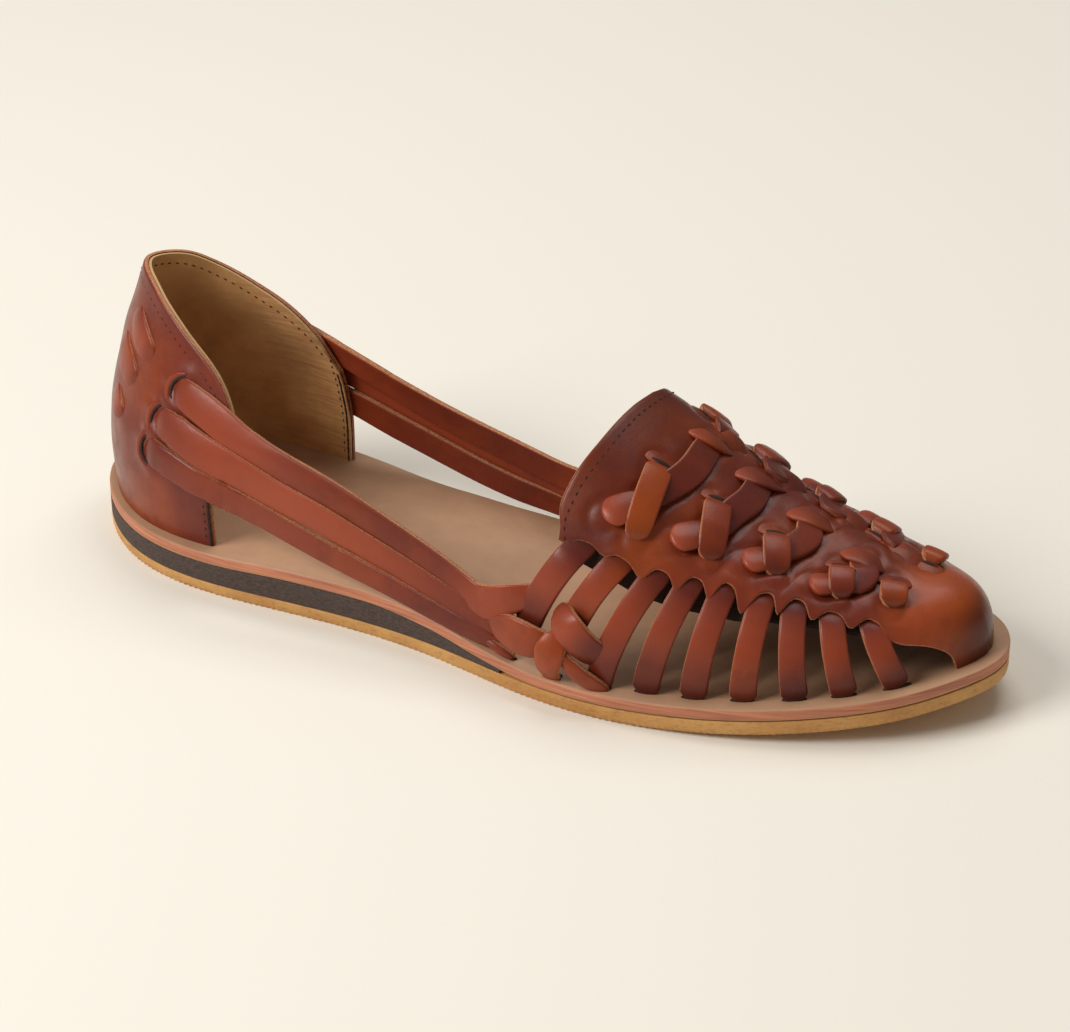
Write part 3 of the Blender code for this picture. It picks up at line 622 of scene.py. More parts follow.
def laid(surface, rows, thick, crown, corner=0.55, tones=(0.0,), end=None, raw=1.0, bare=0):
    """A strap laid along a route on a surface. The route is the natural cubic through the rows'
    first two numbers; half width, lift and tilt ease between rows. At each place the rounded
    section is spread across the surface, so that it follows it, and stands out along the
    surface's own direction: lift + tilt * across + crown * (1 - across squared). The corners
    are marked as cut by the share raw. With bare 1 or -1 the raw edge shows as a broad pale
    line on that side only, the cut edge with a painted highlight where it faces the light, and
    the other side's edge is half as pale, painted shade. The tones, painted light and shade,
    run evenly from the first row's end to the last one's."""
    rows = np.asarray(rows, dtype=float)
    control = surface(rows[:, 0], rows[:, 1])
    place = distances(control)
    fine = np.linspace(0.0, place[-1], 200)
    dense = natural(place, rows[:, :2], fine)
    true = distances(surface(dense[:, 0], dense[:, 1]))
    half_here = eased(place, rows[:, 2], fine)
    samples, reach = end_samples(true[-1], end or max(half_here[0], half_here[-1]))
    at = np.interp(samples, true, fine)
    route = natural(place, rows[:, :2], at)
    half = eased(place, rows[:, 2], at)
    lift = eased(place, rows[:, 3], at)
    tilt = eased(place, rows[:, 4], at)
    inside = inside_of(control)
    step_a, step_b = tangents(surface, route[:, 0], route[:, 1])
    change = np.gradient(route, samples, axis=0)
    along = step_a * change[:, :1] + step_b * change[:, 1:]
    out = facing(surface, route[:, 0], route[:, 1], inside)
    across = np.cross(out, along)
    across /= np.linalg.norm(across, axis=1)[:, None]
    aa = np.sum(step_a * step_a, axis=1)
    ab = np.sum(step_a * step_b, axis=1)
    bb = np.sum(step_b * step_b, axis=1)
    to_a = np.sum(step_a * across, axis=1)
    to_b = np.sum(step_b * across, axis=1)
    scale = aa * bb - ab * ab
    move_a = (to_a * bb - to_b * ab) / scale
    move_b = (to_b * aa - to_a * ab) / scale
    from_end = np.minimum(samples, true[-1] - samples)
    width = (half * rounded(from_end, reach))[:, None]
    height = (thick / 2 * rounded(from_end, 0.7))[:, None]
    radius = np.minimum(np.minimum(corner, width), height)
    wide = SECTION[:, 0] * (width - radius) + SECTION[:, 2] * radius
    high = SECTION[:, 1] * (height - radius) + SECTION[:, 3] * radius
    share = wide / half[:, None]
    high = high + lift[:, None] + tilt[:, None] * wide + crown * (1 - share ** 2) * (width > 0)
    a = route[:, :1] + move_a[:, None] * wide
    b = route[:, 1:] + move_b[:, None] * wide
    points = surface(a, b) + facing(surface, a, b, inside) * high[..., None]
    at_corner = np.abs(SECTION[:, 2])
    # one-sided pale edge: the cut edge with a painted highlight on the lit side, half as pale on the
    # other, painted shade
    one_sided = np.where(SECTION[:, 2] * bare > 0, at_corner ** 1.2, 0.5 * at_corner)
    mark = one_sided if bare else at_corner ** 3
    shade = np.interp(samples / true[-1], np.linspace(0, 1, len(tones)), tones)
    return {
        "points": points,
        "quads": grid_quads(len(samples), len(SECTION), closed=True),
        "cut": raw * mark * np.ones(len(samples))[:, None],
        "painted_light_and_tone": shade[:, None] * np.ones(len(SECTION)),
        "line": surface(route[:, 0], route[:, 1]),
        "half": half,
    }


def around_point(surface, centre, towards, radius, spread, half, lift, count=7):
    """Rows for laid() along an arc round a point of a surface. The arc's middle lies that far
    from the point in the direction of towards, and it spreads as many degrees each way."""
    a = np.array([centre[0]], dtype=float)
    b = np.array([centre[1]], dtype=float)
    step_a, step_b = (t[0] for t in tangents(surface, a, b))
    axis = step_a * (towards[0] - centre[0]) + step_b * (towards[1] - centre[1])
    axis /= np.linalg.norm(axis)
    out = np.cross(step_a, step_b)
    across = np.cross(out / np.linalg.norm(out), axis)
    basis = np.column_stack([step_a, step_b])
    turn = np.radians(np.linspace(-spread, spread, count))
    offset = radius * (np.cos(turn)[:, None] * axis + np.sin(turn)[:, None] * across)
    taper = np.cos(np.linspace(-1.1, 1.1, count))
    route = np.array(centre) + steps_for(basis, offset)
    return np.column_stack([route, half * (0.4 + 0.6 * taper), lift * taper, np.zeros(count)])


def shell(outer, out, thick, cut=0.0, painted_light_and_tone=0.0, edge_cut=1.0, radius=0.45):
    """A sheet of leather with a rolled edge: the outer grid, the same grid moved in by the wall's
    thickness, and a strip round all four edges. The outermost points drop by the corner's
    radius, and are marked as cut by the share edge_cut; cut gives the other points' own cut
    mark, tone the outer face's painted light and shade, and the whole under face is marked
    -0.6, painted shade."""
    rows, columns = outer.shape[:2]
    drop = np.zeros((rows, columns))
    raw = np.broadcast_to(cut, (rows, columns)).copy()
    for ring, (fall, mark) in enumerate(((1.0, 1.0), (0.25, 0.45))):
        for line in (np.s_[ring], np.s_[-1 - ring], np.s_[:, ring], np.s_[:, -1 - ring]):
            drop[line] = np.maximum(drop[line], fall * radius)
            raw[line] = np.maximum(raw[line], mark * edge_cut)
    top = outer - out * drop[..., None]
    under = outer - out * thick
    count = rows * columns
    number = np.arange(count).reshape(rows, columns)
    loop = np.concatenate([number[0, :-1], number[:-1, -1], number[-1, :0:-1], number[:0:-1, 0]])
    following = np.roll(loop, -1)
    rim = np.stack([loop, loop + count, following + count, following], axis=-1)
    quads = grid_quads(rows, columns)
    under_cut = np.broadcast_to(cut, (rows, columns)).copy()
    under_cut[[0, -1], :] = edge_cut
    under_cut[:, [0, -1]] = edge_cut
    over_tone = np.broadcast_to(painted_light_and_tone, (rows, columns)).ravel()
    return {
        "points": np.concatenate([top.reshape(-1, 3), under.reshape(-1, 3)]),
        "quads": np.vstack([quads, quads[:, ::-1] + count, rim]),
        "cut": np.concatenate([raw.ravel(), under_cut.ravel()]),
        # the under face at -0.6: painted shade
        "painted_light_and_tone": np.concatenate([over_tone, np.full(count, -0.6)]),
    }


def near_line(points, line):
    """Distance from each point to a line of points, the least of those to its points."""
    flat = points.reshape(-1, 1, 3)
    best = np.full(len(flat), 1e9)
    for block in np.array_split(np.arange(len(line)), max(1, len(line) // 12)):
        gap = np.linalg.norm(flat - line[None, block], axis=2).min(axis=1)
        best = np.minimum(best, gap)
    return best.reshape(points.shape[:-1])


def bead_shape():
    """A small closed ball of five rings of six points, its poles on its first axis."""
    turn = np.linspace(0, 2 * np.pi, 6, endpoint=False)
    rise = np.linspace(0, np.pi, 5)
    x = -np.cos(rise)[:, None] * np.ones(6)
    y = np.sin(rise)[:, None] * np.cos(turn)
    z = np.sin(rise)[:, None] * np.sin(turn)
    return np.stack([x, y, z], axis=-1)


def beads(places, along, out, size):
    """One bead at each place, its axes along the seam, across it and outwards, of the given
    half sizes; all in one grid of points a bead."""
    shape = bead_shape() * size
    across = np.cross(out, along)
    axes = np.stack([along, across, out], axis=1)
    axes /= np.linalg.norm(axes, axis=2)[:, :, None]
    points = places[:, None, None, :] + np.einsum("rck,nkd->nrcd", shape, axes)
    quads = grid_quads(shape.shape[0], shape.shape[1], closed=True)
    size_each = shape.shape[0] * shape.shape[1]
    numbers = quads[None] + size_each * np.arange(len(places))[:, None, None]
    return {"points": points.reshape(-1, 3), "quads": numbers.reshape(-1, 4)}


def seam(surface, line, spacing, sink, inside):
    """Stitches at an even spacing along a line on a surface, sunk into it or, when that is
    more than the leather's thickness, on its inner face."""
    dense = natural(distances(line), line, np.linspace(0, distances(line)[-1], 900))
    true = distances(surface(dense[:, 0], dense[:, 1]))
    at = np.arange(spacing / 2, true[-1], spacing)
    a = np.interp(at, true, dense[:, 0])
    b = np.interp(at, true, dense[:, 1])
    places = surface(a, b)
    out = facing(surface, a, b, inside)
    along = np.gradient(places, axis=0)
    along /= np.linalg.norm(along, axis=1)[:, None]
    return beads(places - out * sink, along, out, np.array(STITCH))


# ---------------------------------------------------------------- materials


def linear(code):
    """An sRGB hex colour as linear red, green, blue and alpha."""
    value = np.array([int(code[i:i + 2], 16) for i in (1, 3, 5)]) / 255
    value = np.where(value <= 0.04045, value / 12.92, ((value + 0.055) / 1.055) ** 2.4)
    return (*(float(v) for v in value), 1.0)


def add(tree, kind, inputs=(), **settings):
    """Add one node: settings are its own, and each input is a value or the socket that feeds it."""
    made = tree.nodes.new("ShaderNode" + kind)
    for key, value in settings.items():
        setattr(made, key, value)
    for key, value in dict(inputs).items():
        if isinstance(value, bpy.types.NodeSocket):
            tree.links.new(value, made.inputs[key])
        else:
            made.inputs[key].default_value = value
    return made


def start(name):
    """A new material's node tree, its shader and its object coordinates."""
    made = bpy.data.materials.new(name)
    made.use_nodes = True
    tree = made.node_tree
    shader = tree.nodes["Principled BSDF"]
    return made, tree, shader, add(tree, "TexCoord").outputs["Object"]


def blend(tree, factor, first, second):
    """A colour between two, by a factor."""
    mixed = add(tree, "Mix", {0: factor, 6: first, 7: second}, data_type="RGBA")
    return mixed.outputs[2]


def noise(tree, where, size_mm, detail, rough=0.5, stretch=(1, 1, 1)):
    """A cloud of blobs of the given real size, drawn out along the axes by stretch."""
    moved = add(tree, "Mapping", {"Vector": where, "Scale": tuple(1 / s for s in stretch)})
    inputs = {
        "Vector": moved.outputs[0],
        "Scale": 1 / (size_mm * MM),
        "Detail": detail,
        "Roughness": rough,
    }
    return add(tree, "TexNoise", inputs).outputs["Fac"]


def ramp(tree, value, low, high, to_low=0.0, to_high=1.0):
    """A value's range stretched onto another, held at both ends."""
    inputs = {0: value, 1: low, 2: high, 3: to_low, 4: to_high}
    return add(tree, "MapRange", inputs, clamp=True).outputs[0]


def bump(tree, height, depth_mm, normal=None):
    """A relief of the given real depth, on top of another relief or none."""
    inputs = {"Height": height, "Distance": depth_mm * MM, "Strength": 1.0}
    if normal is not None:
        inputs["Normal"] = normal
    return add(tree, "Bump", inputs).outputs["Normal"]


def burnished_calf(name, dark, middle, warm, plum, light, raw):
    """Aniline dyed calf, plated smooth and burnished: glossy with fine pores, dye that gathers
    darker in places and goes orange or plum by the piece, painted highlight and painted shade
    by each point's tone mark, and raw tan edges."""
    made, tree, shader, where = start(name)
    painted_light_and_tone = add(tree, "Attribute", attribute_name="painted_light_and_tone").outputs["Fac"]
    cut = add(tree, "Attribute", attribute_name="cut").outputs["Fac"]
    hue = add(tree, "Attribute", attribute_name="warm").outputs["Fac"]
    cloud = noise(tree, where, 24.0, 3.0)
    shift = ramp(tree, cloud, 0.35, 0.65, -0.45, 0.45)
    hue = add(tree, "Math", {0: hue, 1: shift}, operation="ADD").outputs[0]
    colour = blend(tree, ramp(tree, hue, 0.0, 1.0), linear(middle), linear(warm))
    colour = blend(tree, ramp(tree, hue, 0.0, -1.0), colour, linear(plum))
    mottle = noise(tree, where, 5.0, 4.0, 0.6)
    colour = blend(tree, ramp(tree, mottle, 0.5, 0.8, 0.0, 0.4), colour, linear(dark))
    # painted highlight where the tone mark is above 0, painted shade where it is below 0; the dark colour
    # also serves the dye's mottle
    colour = blend(tree, ramp(tree, painted_light_and_tone, 0.0, 1.0), colour, linear(light))
    colour = blend(tree, ramp(tree, painted_light_and_tone, 0.0, -1.0), colour, linear(dark))
    fibre = noise(tree, where, 0.5, 3.0, 0.7)
    edge = blend(tree, ramp(tree, fibre, 0.3, 0.7), linear(raw), linear("#8a4a2c"))
    colour = blend(tree, ramp(tree, cut, 0.45, 0.95), colour, edge)
    tree.links.new(colour, shader.inputs["Base Color"])
    gloss = ramp(tree, mottle, 0.3, 0.7, 0.3, 0.42)
    gloss = add(tree, "Mix", {0: ramp(tree, cut, 0.35, 0.8), 2: gloss, 3: 0.8}).outputs[0]
    tree.links.new(gloss, shader.inputs["Roughness"])
    # pores about 0.45 mm apart, and slack creases of 2.4 mm
    pores = bump(tree, noise(tree, where, 0.45, 2.0, 0.6), 0.02)
    relief = bump(tree, noise(tree, where, 2.4, 3.0, 0.55), 0.06, pores)
    tree.links.new(relief, shader.inputs["Normal"])
    shader.inputs["Specular IOR Level"].default_value = 0.24
    shader.inputs["Coat Weight"].default_value = 0.12
    shader.inputs["Coat Roughness"].default_value = 0.24
    return made


def calf_lining(name, base, deep):
    """Undyed goat lining, glazed: matt tan with fine pores, and ribs about 1.6 mm apart that
    run fore and aft where it was pulled round the last near the front edge."""
    made, tree, shader, where = start(name)
    cut = add(tree, "Attribute", attribute_name="cut").outputs["Fac"]
    cloud = noise(tree, where, 14.0, 3.0)
    colour = blend(tree, ramp(tree, cloud, 0.35, 0.65), linear(base), linear(deep))
    colour = blend(tree, ramp(tree, cut, 0.3, 0.8), colour, linear("#c49a68"))
    tree.links.new(colour, shader.inputs["Base Color"])
    shader.inputs["Roughness"].default_value = 0.62
    place = add(tree, "SeparateXYZ", {0: where})
    smooth_to, ribbed_from = (float(station - CENTRE[0]) * MM for station in (18.0, 52.0))
    front = ramp(tree, place.outputs["X"], smooth_to, ribbed_from)
    ribs = noise(tree, where, 1.7, 2.0, 0.5, stretch=(9.0, 2.0, 1.0))
    relief = add(tree, "Math", {0: front, 1: ribs}, operation="MULTIPLY").outputs[0]
    folds = bump(tree, relief, 0.5)
    pores = bump(tree, noise(tree, where, 0.5, 2.0, 0.6), 0.03, folds)
    tree.links.new(pores, shader.inputs["Normal"])
    shader.inputs["Sheen Weight"].default_value = 0.1
    return made


def sole_leather(name, face, face_deep, edge, edge_deep):
    """Vegetable tanned shoulder, about 3 mm: a matt, rubbed tan face, and a dressed edge that
    shows its fibre as long level streaks in two tones of salmon."""
    made, tree, shader, where = start(name)
    cut = add(tree, "Attribute", attribute_name="cut").outputs["Fac"]
    painted_light_and_tone = add(tree, "Attribute", attribute_name="painted_light_and_tone").outputs["Fac"]
    cloud = noise(tree, where, 22.0, 4.0, 0.6)
    top = blend(tree, ramp(tree, cloud, 0.3, 0.7), linear(face), linear(face_deep))
    # darker where the tone mark is below 0, painted shade; no sole layer sets the mark
    top = blend(tree, ramp(tree, painted_light_and_tone, 0.0, -1.0), top, linear("#6b4a38"))
    streak = noise(tree, where, 0.9, 4.0, 0.65, stretch=(22.0, 22.0, 0.8))
    side = blend(tree, ramp(tree, streak, 0.35, 0.65), linear(edge), linear(edge_deep))
    colour = blend(tree, ramp(tree, cut, 0.4, 0.7), top, side)
    tree.links.new(colour, shader.inputs["Base Color"])
    rough = ramp(tree, cloud, 0.3, 0.7, 0.5, 0.62)
    tree.links.new(rough, shader.inputs["Roughness"])
    fibres = add(tree, "Math", {0: cut, 1: streak}, operation="MULTIPLY").outputs[0]
    relief = bump(tree, fibres, 0.22)
    pores = bump(tree, noise(tree, where, 0.6, 3.0, 0.6), 0.025, relief)
    tree.links.new(pores, shader.inputs["Normal"])
    return made


def foam_rubber(name, base, deep):
    """Buffed microcellular rubber: matt charcoal brown, its open cells of 0.4 mm show as a
    fine pepper drawn out along the buffing."""
    made, tree, shader, where = start(name)
    cells = noise(tree, where, 0.45, 2.0, 0.7, stretch=(2.5, 2.5, 1.0))
    colour = blend(tree, ramp(tree, cells, 0.35, 0.65), linear(base), linear(deep))
    tree.links.new(colour, shader.inputs["Base Color"])
    tree.links.new(bump(tree, cells, 0.08), shader.inputs["Normal"])
    shader.inputs["Roughness"].default_value = 0.85
    return made


def crepe(name, base, deep):
    """Natural plantation crepe, milled and cut: translucent amber with a crinkled grain of about
    1.2 mm, darker in its folds, matt with a slight waxiness."""
    made, tree, shader, where = start(name)
    crinkle = noise(tree, where, 1.3, 4.0, 0.65, stretch=(1.6, 1.6, 0.7))
    cloud = noise(tree, where, 16.0, 2.0)
    colour = blend(tree, ramp(tree, cloud, 0.35, 0.65), linear(base), linear(deep))
    colour = blend(tree, ramp(tree, crinkle, 0.5, 0.75, 0.0, 0.6), colour, linear("#94643a"))
    tree.links.new(colour, shader.inputs["Base Color"])
    tree.links.new(bump(tree, crinkle, 0.3), shader.inputs["Normal"])
    shader.inputs["Roughness"].default_value = 0.6
    shader.inputs["Subsurface Weight"].default_value = 0.12
    shader.inputs["Subsurface Radius"].default_value = (0.004, 0.002, 0.001)
    shader.inputs["Subsurface Scale"].default_value = 1.0
    return made


def plain_fibre(name, base, deep, size_mm, rough):
    """Matt fibre, such as waxed thread or the flesh side of leather: two near tones in fine
    tufts of the given size."""
    made, tree, shader, where = start(name)
    tuft = noise(tree, where, size_mm, 3.0, 0.7)
    colour = blend(tree, ramp(tree, tuft, 0.35, 0.65), linear(base), linear(deep))
    tree.links.new(colour, shader.inputs["Base Color"])
    tree.links.new(bump(tree, tuft, 0.06), shader.inputs["Normal"])
    shader.inputs["Roughness"].default_value = rough
    return made


# calf colours: dark serves the dye's mottle and painted shade, light serves only painted highlight
CALF = burnished_calf("burnished_calf", "#3a120a", "#742c18", "#984317", "#58201b", "#a64a2c", "#cf9468")
LINING = calf_lining("goat_lining", "#d6a266", "#b98850")
SOLE_LEATHER = sole_leather("sole_shoulder_leather", "#bd9270", "#a87f5f", "#cc8460", "#a8654a")
FOAM = foam_rubber("foam_rubber", "#54443c", "#3c302b")
CREPE = crepe("crepe_rubber_amber", "#cf9c5a", "#bf8848")
THREAD = plain_fibre("waxed_thread", "#2a1510", "#3b2018", 0.4, 0.7)
# dark flesh side that also stands for painted shade: the slots' dark lenses, the vamp's inner layer under
# the band and the counter's front edges
FLESH_AND_SHADE = plain_fibre("flesh_side_and_painted_shade", "#3a2218", "#24140e", 0.6, 0.9)

# ---------------------------------------------------------------- the sole


def sole_layer(name, end, bottom, top, finish, node, corner, ripple=0.0, columns=260):
    """A sole layer: rings that follow the outline, each inset by its own distance and set at its
    own height, joined from the underside over the rounded edge to the top. The insides of the
    first and last ring are filled by rungs from side to side. Stations are spaced by a cosine,
    so that heel and toe come out round. A layer that ends before the toe closes to a point
    there. A ripple saws the lower edge with small teeth."""
    turn = np.linspace(0.0, np.pi, columns)
    share = (1 - np.cos(turn)) / 2
    # each ring: its inset, its share of the layer's height, its lift and how far it is cut edge
    rings = [
        (0.6, 0.0, 0.0, 0.0), (0.12, 0.0, 0.12, 0.0), (0.0, 0.0, 0.6, 1.0),
        (0.0, 0.35, 0.0, 1.0), (0.0, 0.7, 0.0, 1.0),
    ]
    for a in np.radians([0, 30, 60, 90]):
        rings.append((corner * (1 - np.cos(a)), 1.0, -corner * (1 - np.sin(a)), 1 - a / 1.6))
    lateral = []
    medial = []
    cut = []
    for distance, part, lift, mark in rings:
        line = sides(inset(EDGE, distance)) if distance else sides(EDGE)
        first = max(line[LATERAL][0, 0], line[MEDIAL][0, 0])
        last = min(line[LATERAL][-1, 0], line[MEDIAL][-1, 0])
        if end < TOE[0]:
            last = end
        x = first + (last - first) * share
        for side, into in ((LATERAL, lateral), (MEDIAL, medial)):
            y = side_at(line[side], x)
            if ripple and part < 0.2:
                place = distances(np.column_stack([x, y]))
                wave = np.abs(np.sin(np.pi * place / CREPE_TOOTH)) * ripple * (1.0 if part == 0.0 else 0.4)
                y = y - side * wave
            z = bottom(x) + (top(x) - bottom(x)) * part + lift
            into.append(np.column_stack([x, y, z]))
        cut.append(mark)
    lateral = np.array(lateral)
    medial = np.array(medial)
    across = np.linspace(0, 1, 15)[1:-1]
    upper = [lateral[-1] * (1 - s) + medial[-1] * s for s in across]
    lower = [medial[0] * (1 - s) + lateral[0] * s for s in across]
    rows = np.concatenate([lateral, upper, medial[::-1], lower])
    marks = np.concatenate([cut, np.zeros(len(across)), cut[::-1], np.zeros(len(across))])
    points = rows.transpose(1, 0, 2)
    if end < TOE[0]:
        tip = points[-1:].mean(axis=1, keepdims=True)
        points = np.concatenate([points, tip * np.ones((1, points.shape[1], 1))])
    part = {
        "points": points,
        "quads": grid_quads(points.shape[0], points.shape[1], closed=True),
        "cut": np.ones(points.shape[0])[:, None] * marks,
    }
    piece(name, [part], finish, node)


sole_layer(
    "crepe_outsole",
    TOE[0],
    ground,
    outsole_top,
    CREPE,
    "outsole",
    corner=0.25,
    ripple=0.35,
    columns=700,
)
sole_layer(
    "foam_wedge",
    WEDGE_END,
    lambda x: outsole_top(x) + 0.02,
    lambda x: np.maximum(footbed_bottom(x) - 0.02, outsole_top(x) + 0.2),
    FOAM,
    "midsole_wedge",
    corner=0.1,
)
sole_layer(
    "leather_footbed",
    TOE[0],
    footbed_bottom,
    footbed_top,
    SOLE_LEATHER,
    "footbed",
    corner=0.6,
)

# ---------------------------------------------------------------- the vamp


def scallop(side, station):
    """How far round the band's lower edge lies at a station: an easy line through the low points
    in the gaps, on it an arch over each side strap, 1 - 4.5 u^3.5 + 3.5 u^4.5 with u running to
    4.7 mm on each side of it, which leaves a rounded tip, then the cut beside the toe cap."""
    straps = SIDE_STRAPS[side]
    top = straps["top"]
    gaps = np.concatenate([[top[0] - 6.0], (top[1:] + top[:-1]) / 2 + 0.4, [CAP_CUT[side][0][0]]])
    tips = straps["edge"][:-1] + np.interp(np.arange(8), [0, 3, 4, 7], [6.4, 6.2, 3.8, 3.1])
    edge = np.concatenate([[straps["round"][0] - 3.0], tips, [CAP_CUT[side][1][0]]])
    station = np.asarray(station, dtype=float)
    i = np.clip(np.searchsorted(gaps, station, side="right") - 1, 0, len(top) - 1)
    from_top = station - (top[i] - 0.2)
    reach = np.where(from_top < 0, top[i] - 0.2 - gaps[i], gaps[i + 1] - top[i] + 0.2)
    u = np.clip(np.abs(from_top) / np.minimum(reach, 4.7), 0.0, 1.0)
    low = eased(gaps, edge, station)
    peak = straps["round"][i] + 0.3 - eased(gaps, edge, top[i])
    after = eased(*CAP_CUT[side], station)
    return np.where(station > gaps[-1], after, low + peak * (1 - 4.5 * u ** 3.5 + 3.5 * u ** 4.5))


def spaced(total, fine, step):
    """Places from 0 to a total: three close together at each end, the rest evenly apart."""
    middle = np.linspace(fine[-1], total - fine[-1], int((total - 2 * fine[-1]) / step))
    return np.concatenate([[0.0], fine[:-1], middle, (total - np.array(fine[:-1]))[::-1], [total]])


def vamp_grid(step, low, high, back=0.0):
    """Station and way round of a grid over the vamp: rows run from the throat's edge to the nose,
    closer together towards it, and columns from one lower edge to the other."""
    length = 96.0
    width = 104.0
    at_edge = (0.25, 0.7, 1.3)
    rows = spaced(length, at_edge, step)
    rows = rows[rows < 82.0] / length
    nose = np.linspace(0.0, 1.0, int(21.08 / step) + 14)[1:]
    ahead = np.concatenate([rows, rows[-1] + (1 - rows[-1]) * (1 - (1 - nose) ** 2)])
    across = spaced(width, at_edge, step) / width
    start_x = smooth(THROAT, "station", 30 + 122 * across) + back
    station = start_x[None] * (1 - ahead[:, None]) + NOSE_END * ahead[:, None]
    lower = low(station[:, :1])
    upper = 180 - high(station[:, -1:])
    around = lower + (upper - lower) * across[None]
    return station, around


def upright(side, top, low, half, warm):
    """An upright strip: out of a slot at its top, over the woven strap, into one at its foot."""
    top = np.array(top)
    low = np.array(low)
    share = np.array([0.01, 0.07, 0.2, 0.5, 0.78, 0.93, 1.03])[:, None]
    route = top * (1 - share) + low * share
    rows = np.column_stack([
        route,
        np.array([0.9, 0.97, 1.0, 1.0, 0.97, 0.84, 0.5]) * half,
        [-0.6, 0.7, 1.6, 2.0, 1.5, 0.5, -0.9],
        np.zeros(7),
    ])
    # painted shade at both ends, deepest at the foot where the strip goes into its slot
    tones = (-0.1, 0.1, 0.1, 0.0, -0.15, -0.45)
    made = laid(mirrored(side), rows, SIDE_STRAP, 0.25, tones=tones, end=2.4, bare=side)
    return {**made, "warm": warm}


def weave_rows(side):
    """The weave's rows on one side, each as a dict of its table's columns, with the middle of
    the visor's mouth that its strap goes into."""
    rows = [dict(zip(WEAVE[side], row)) for row in zip(*WEAVE[side].values())]
    for row, (x, around, far_x, far_around, _, _) in zip(rows, VISORS[side]):
        row["mouth_x"] = (x + far_x) / 2
        row["mouth_a"] = (around + far_around) / 2
    return rows


def strips_of(side):
    """Top, foot, half width and warmth of each upright strip of one side."""
    made = []
    for w in weave_rows(side):
        top = (w["strip_top_x"], w["strip_top_a"])
        low = (w["strip_low_x"], w["strip_low_a"])
        made.append((top, low, w["strip_half"]))
    made.append(LAST_STRIP[side])
    return [(*row, warm) for row, warm in zip(made, (0.75, 0.35, 0.2, 0.3, 0.4))]


def between(row, share):
    """Station and way round of a place part way from a leaf's end to its strip."""
    ends = ((row["leaf" + axis], row["under" + axis]) for axis in ("_x", "_a"))
    return tuple(leaf * (1 - share) + under * share for leaf, under in ends)


def woven_straps():
    """The weave: on each side and for each row a leaf, a strap that runs from under an upright
    strip to under the visor beside the top line, and the strip itself, with one strip more in
    front. Returns the leaves, the straps and the strips."""
    leaves = []
    straps = []
    strips = []
    for side in BOTH:
        surface = mirrored(side)
        for w in weave_rows(side):
            half = w["half"]
            leaf = [
                (w["leaf_x"], w["leaf_a"], half, -0.3, 0.2 * side),
                (*between(w, 0.22), half * 1.16, 0.0, 0.25 * side),
                (*between(w, 0.6), half * 1.16, 0.0, 0.25 * side),
                (w["under_x"] + 0.8, w["under_a"] + 1.0, half * 0.9, -0.8, 0),
            ]
            # painted highlight on the leaf's round end, painted shade where it goes under the strip
            made = laid(surface, leaf, 1.7, 0.9, tones=(0.7, 0.4, -0.2, -0.7), raw=0.0)
            leaves.append({**made, "warm": 0.1})
            rows = [
                (w["under_x"] - 1.5, w["under_a"] - 3.0, half * 0.85, 0.2, 0),
                (w["under_x"] + 1.5, w["under_a"] + 4.0, half, 0.7, -0.06 * side),
                (w["out_x"] - 1.2, w["out_a"] - 4.0, half * 1.08, 0.9, -0.12 * side),
                (w["out_x"] + 0.4, w["out_a"] + 4.0, half * 1.12, 0.9, -0.12 * side),
                (w["mouth_x"], w["mouth_a"] - 1.0, half * 1.04, 0.1, -0.06 * side),
                (w["mouth_x"] + 0.5, w["mouth_a"] + 6.0, half * 0.8, -1.8, 0),
            ]
            # painted shade where the strap comes from under the strip and where it goes into the visor's
            # mouth
            tones = (-0.7, -0.4, -0.05, 0.05, -0.2, -0.8)
            # on the outer side the raw edge is one-sided: the cut edge with a painted highlight on the lit
            # side
            bare = 1 if side == LATERAL else 0
            made = laid(surface, rows, SIDE_STRAP, 0.12, tones=tones, raw=0.6 + 0.4 * bare, bare=bare)
            straps.append({**made, "warm": -0.5})
        strips += [upright(side, *row) for row in strips_of(side)]
    return leaves, straps, strips


def mouth_frame(surface, ends):
    """Middle of a visor's mouth, half its width, its directions along and back, and the
    surface's two slopes there."""
    left, right = np.array(ends, dtype=float)
    centre = (left + right) / 2
    step_a, step_b = (t[0] for t in tangents(surface, centre[:1], centre[1:]))
    mouth = step_a * (right - left)[0] + step_b * (right - left)[1]
    half = np.linalg.norm(mouth) / 2
    mouth /= 2 * half
    out = np.cross(step_a, step_b)
    out /= np.linalg.norm(out)
    back = np.cross(out, mouth)
    back *= 1.0 if np.sum(back * step_b) > 0 else -1.0
    return centre, half, mouth, back, np.column_stack([step_a, step_b])


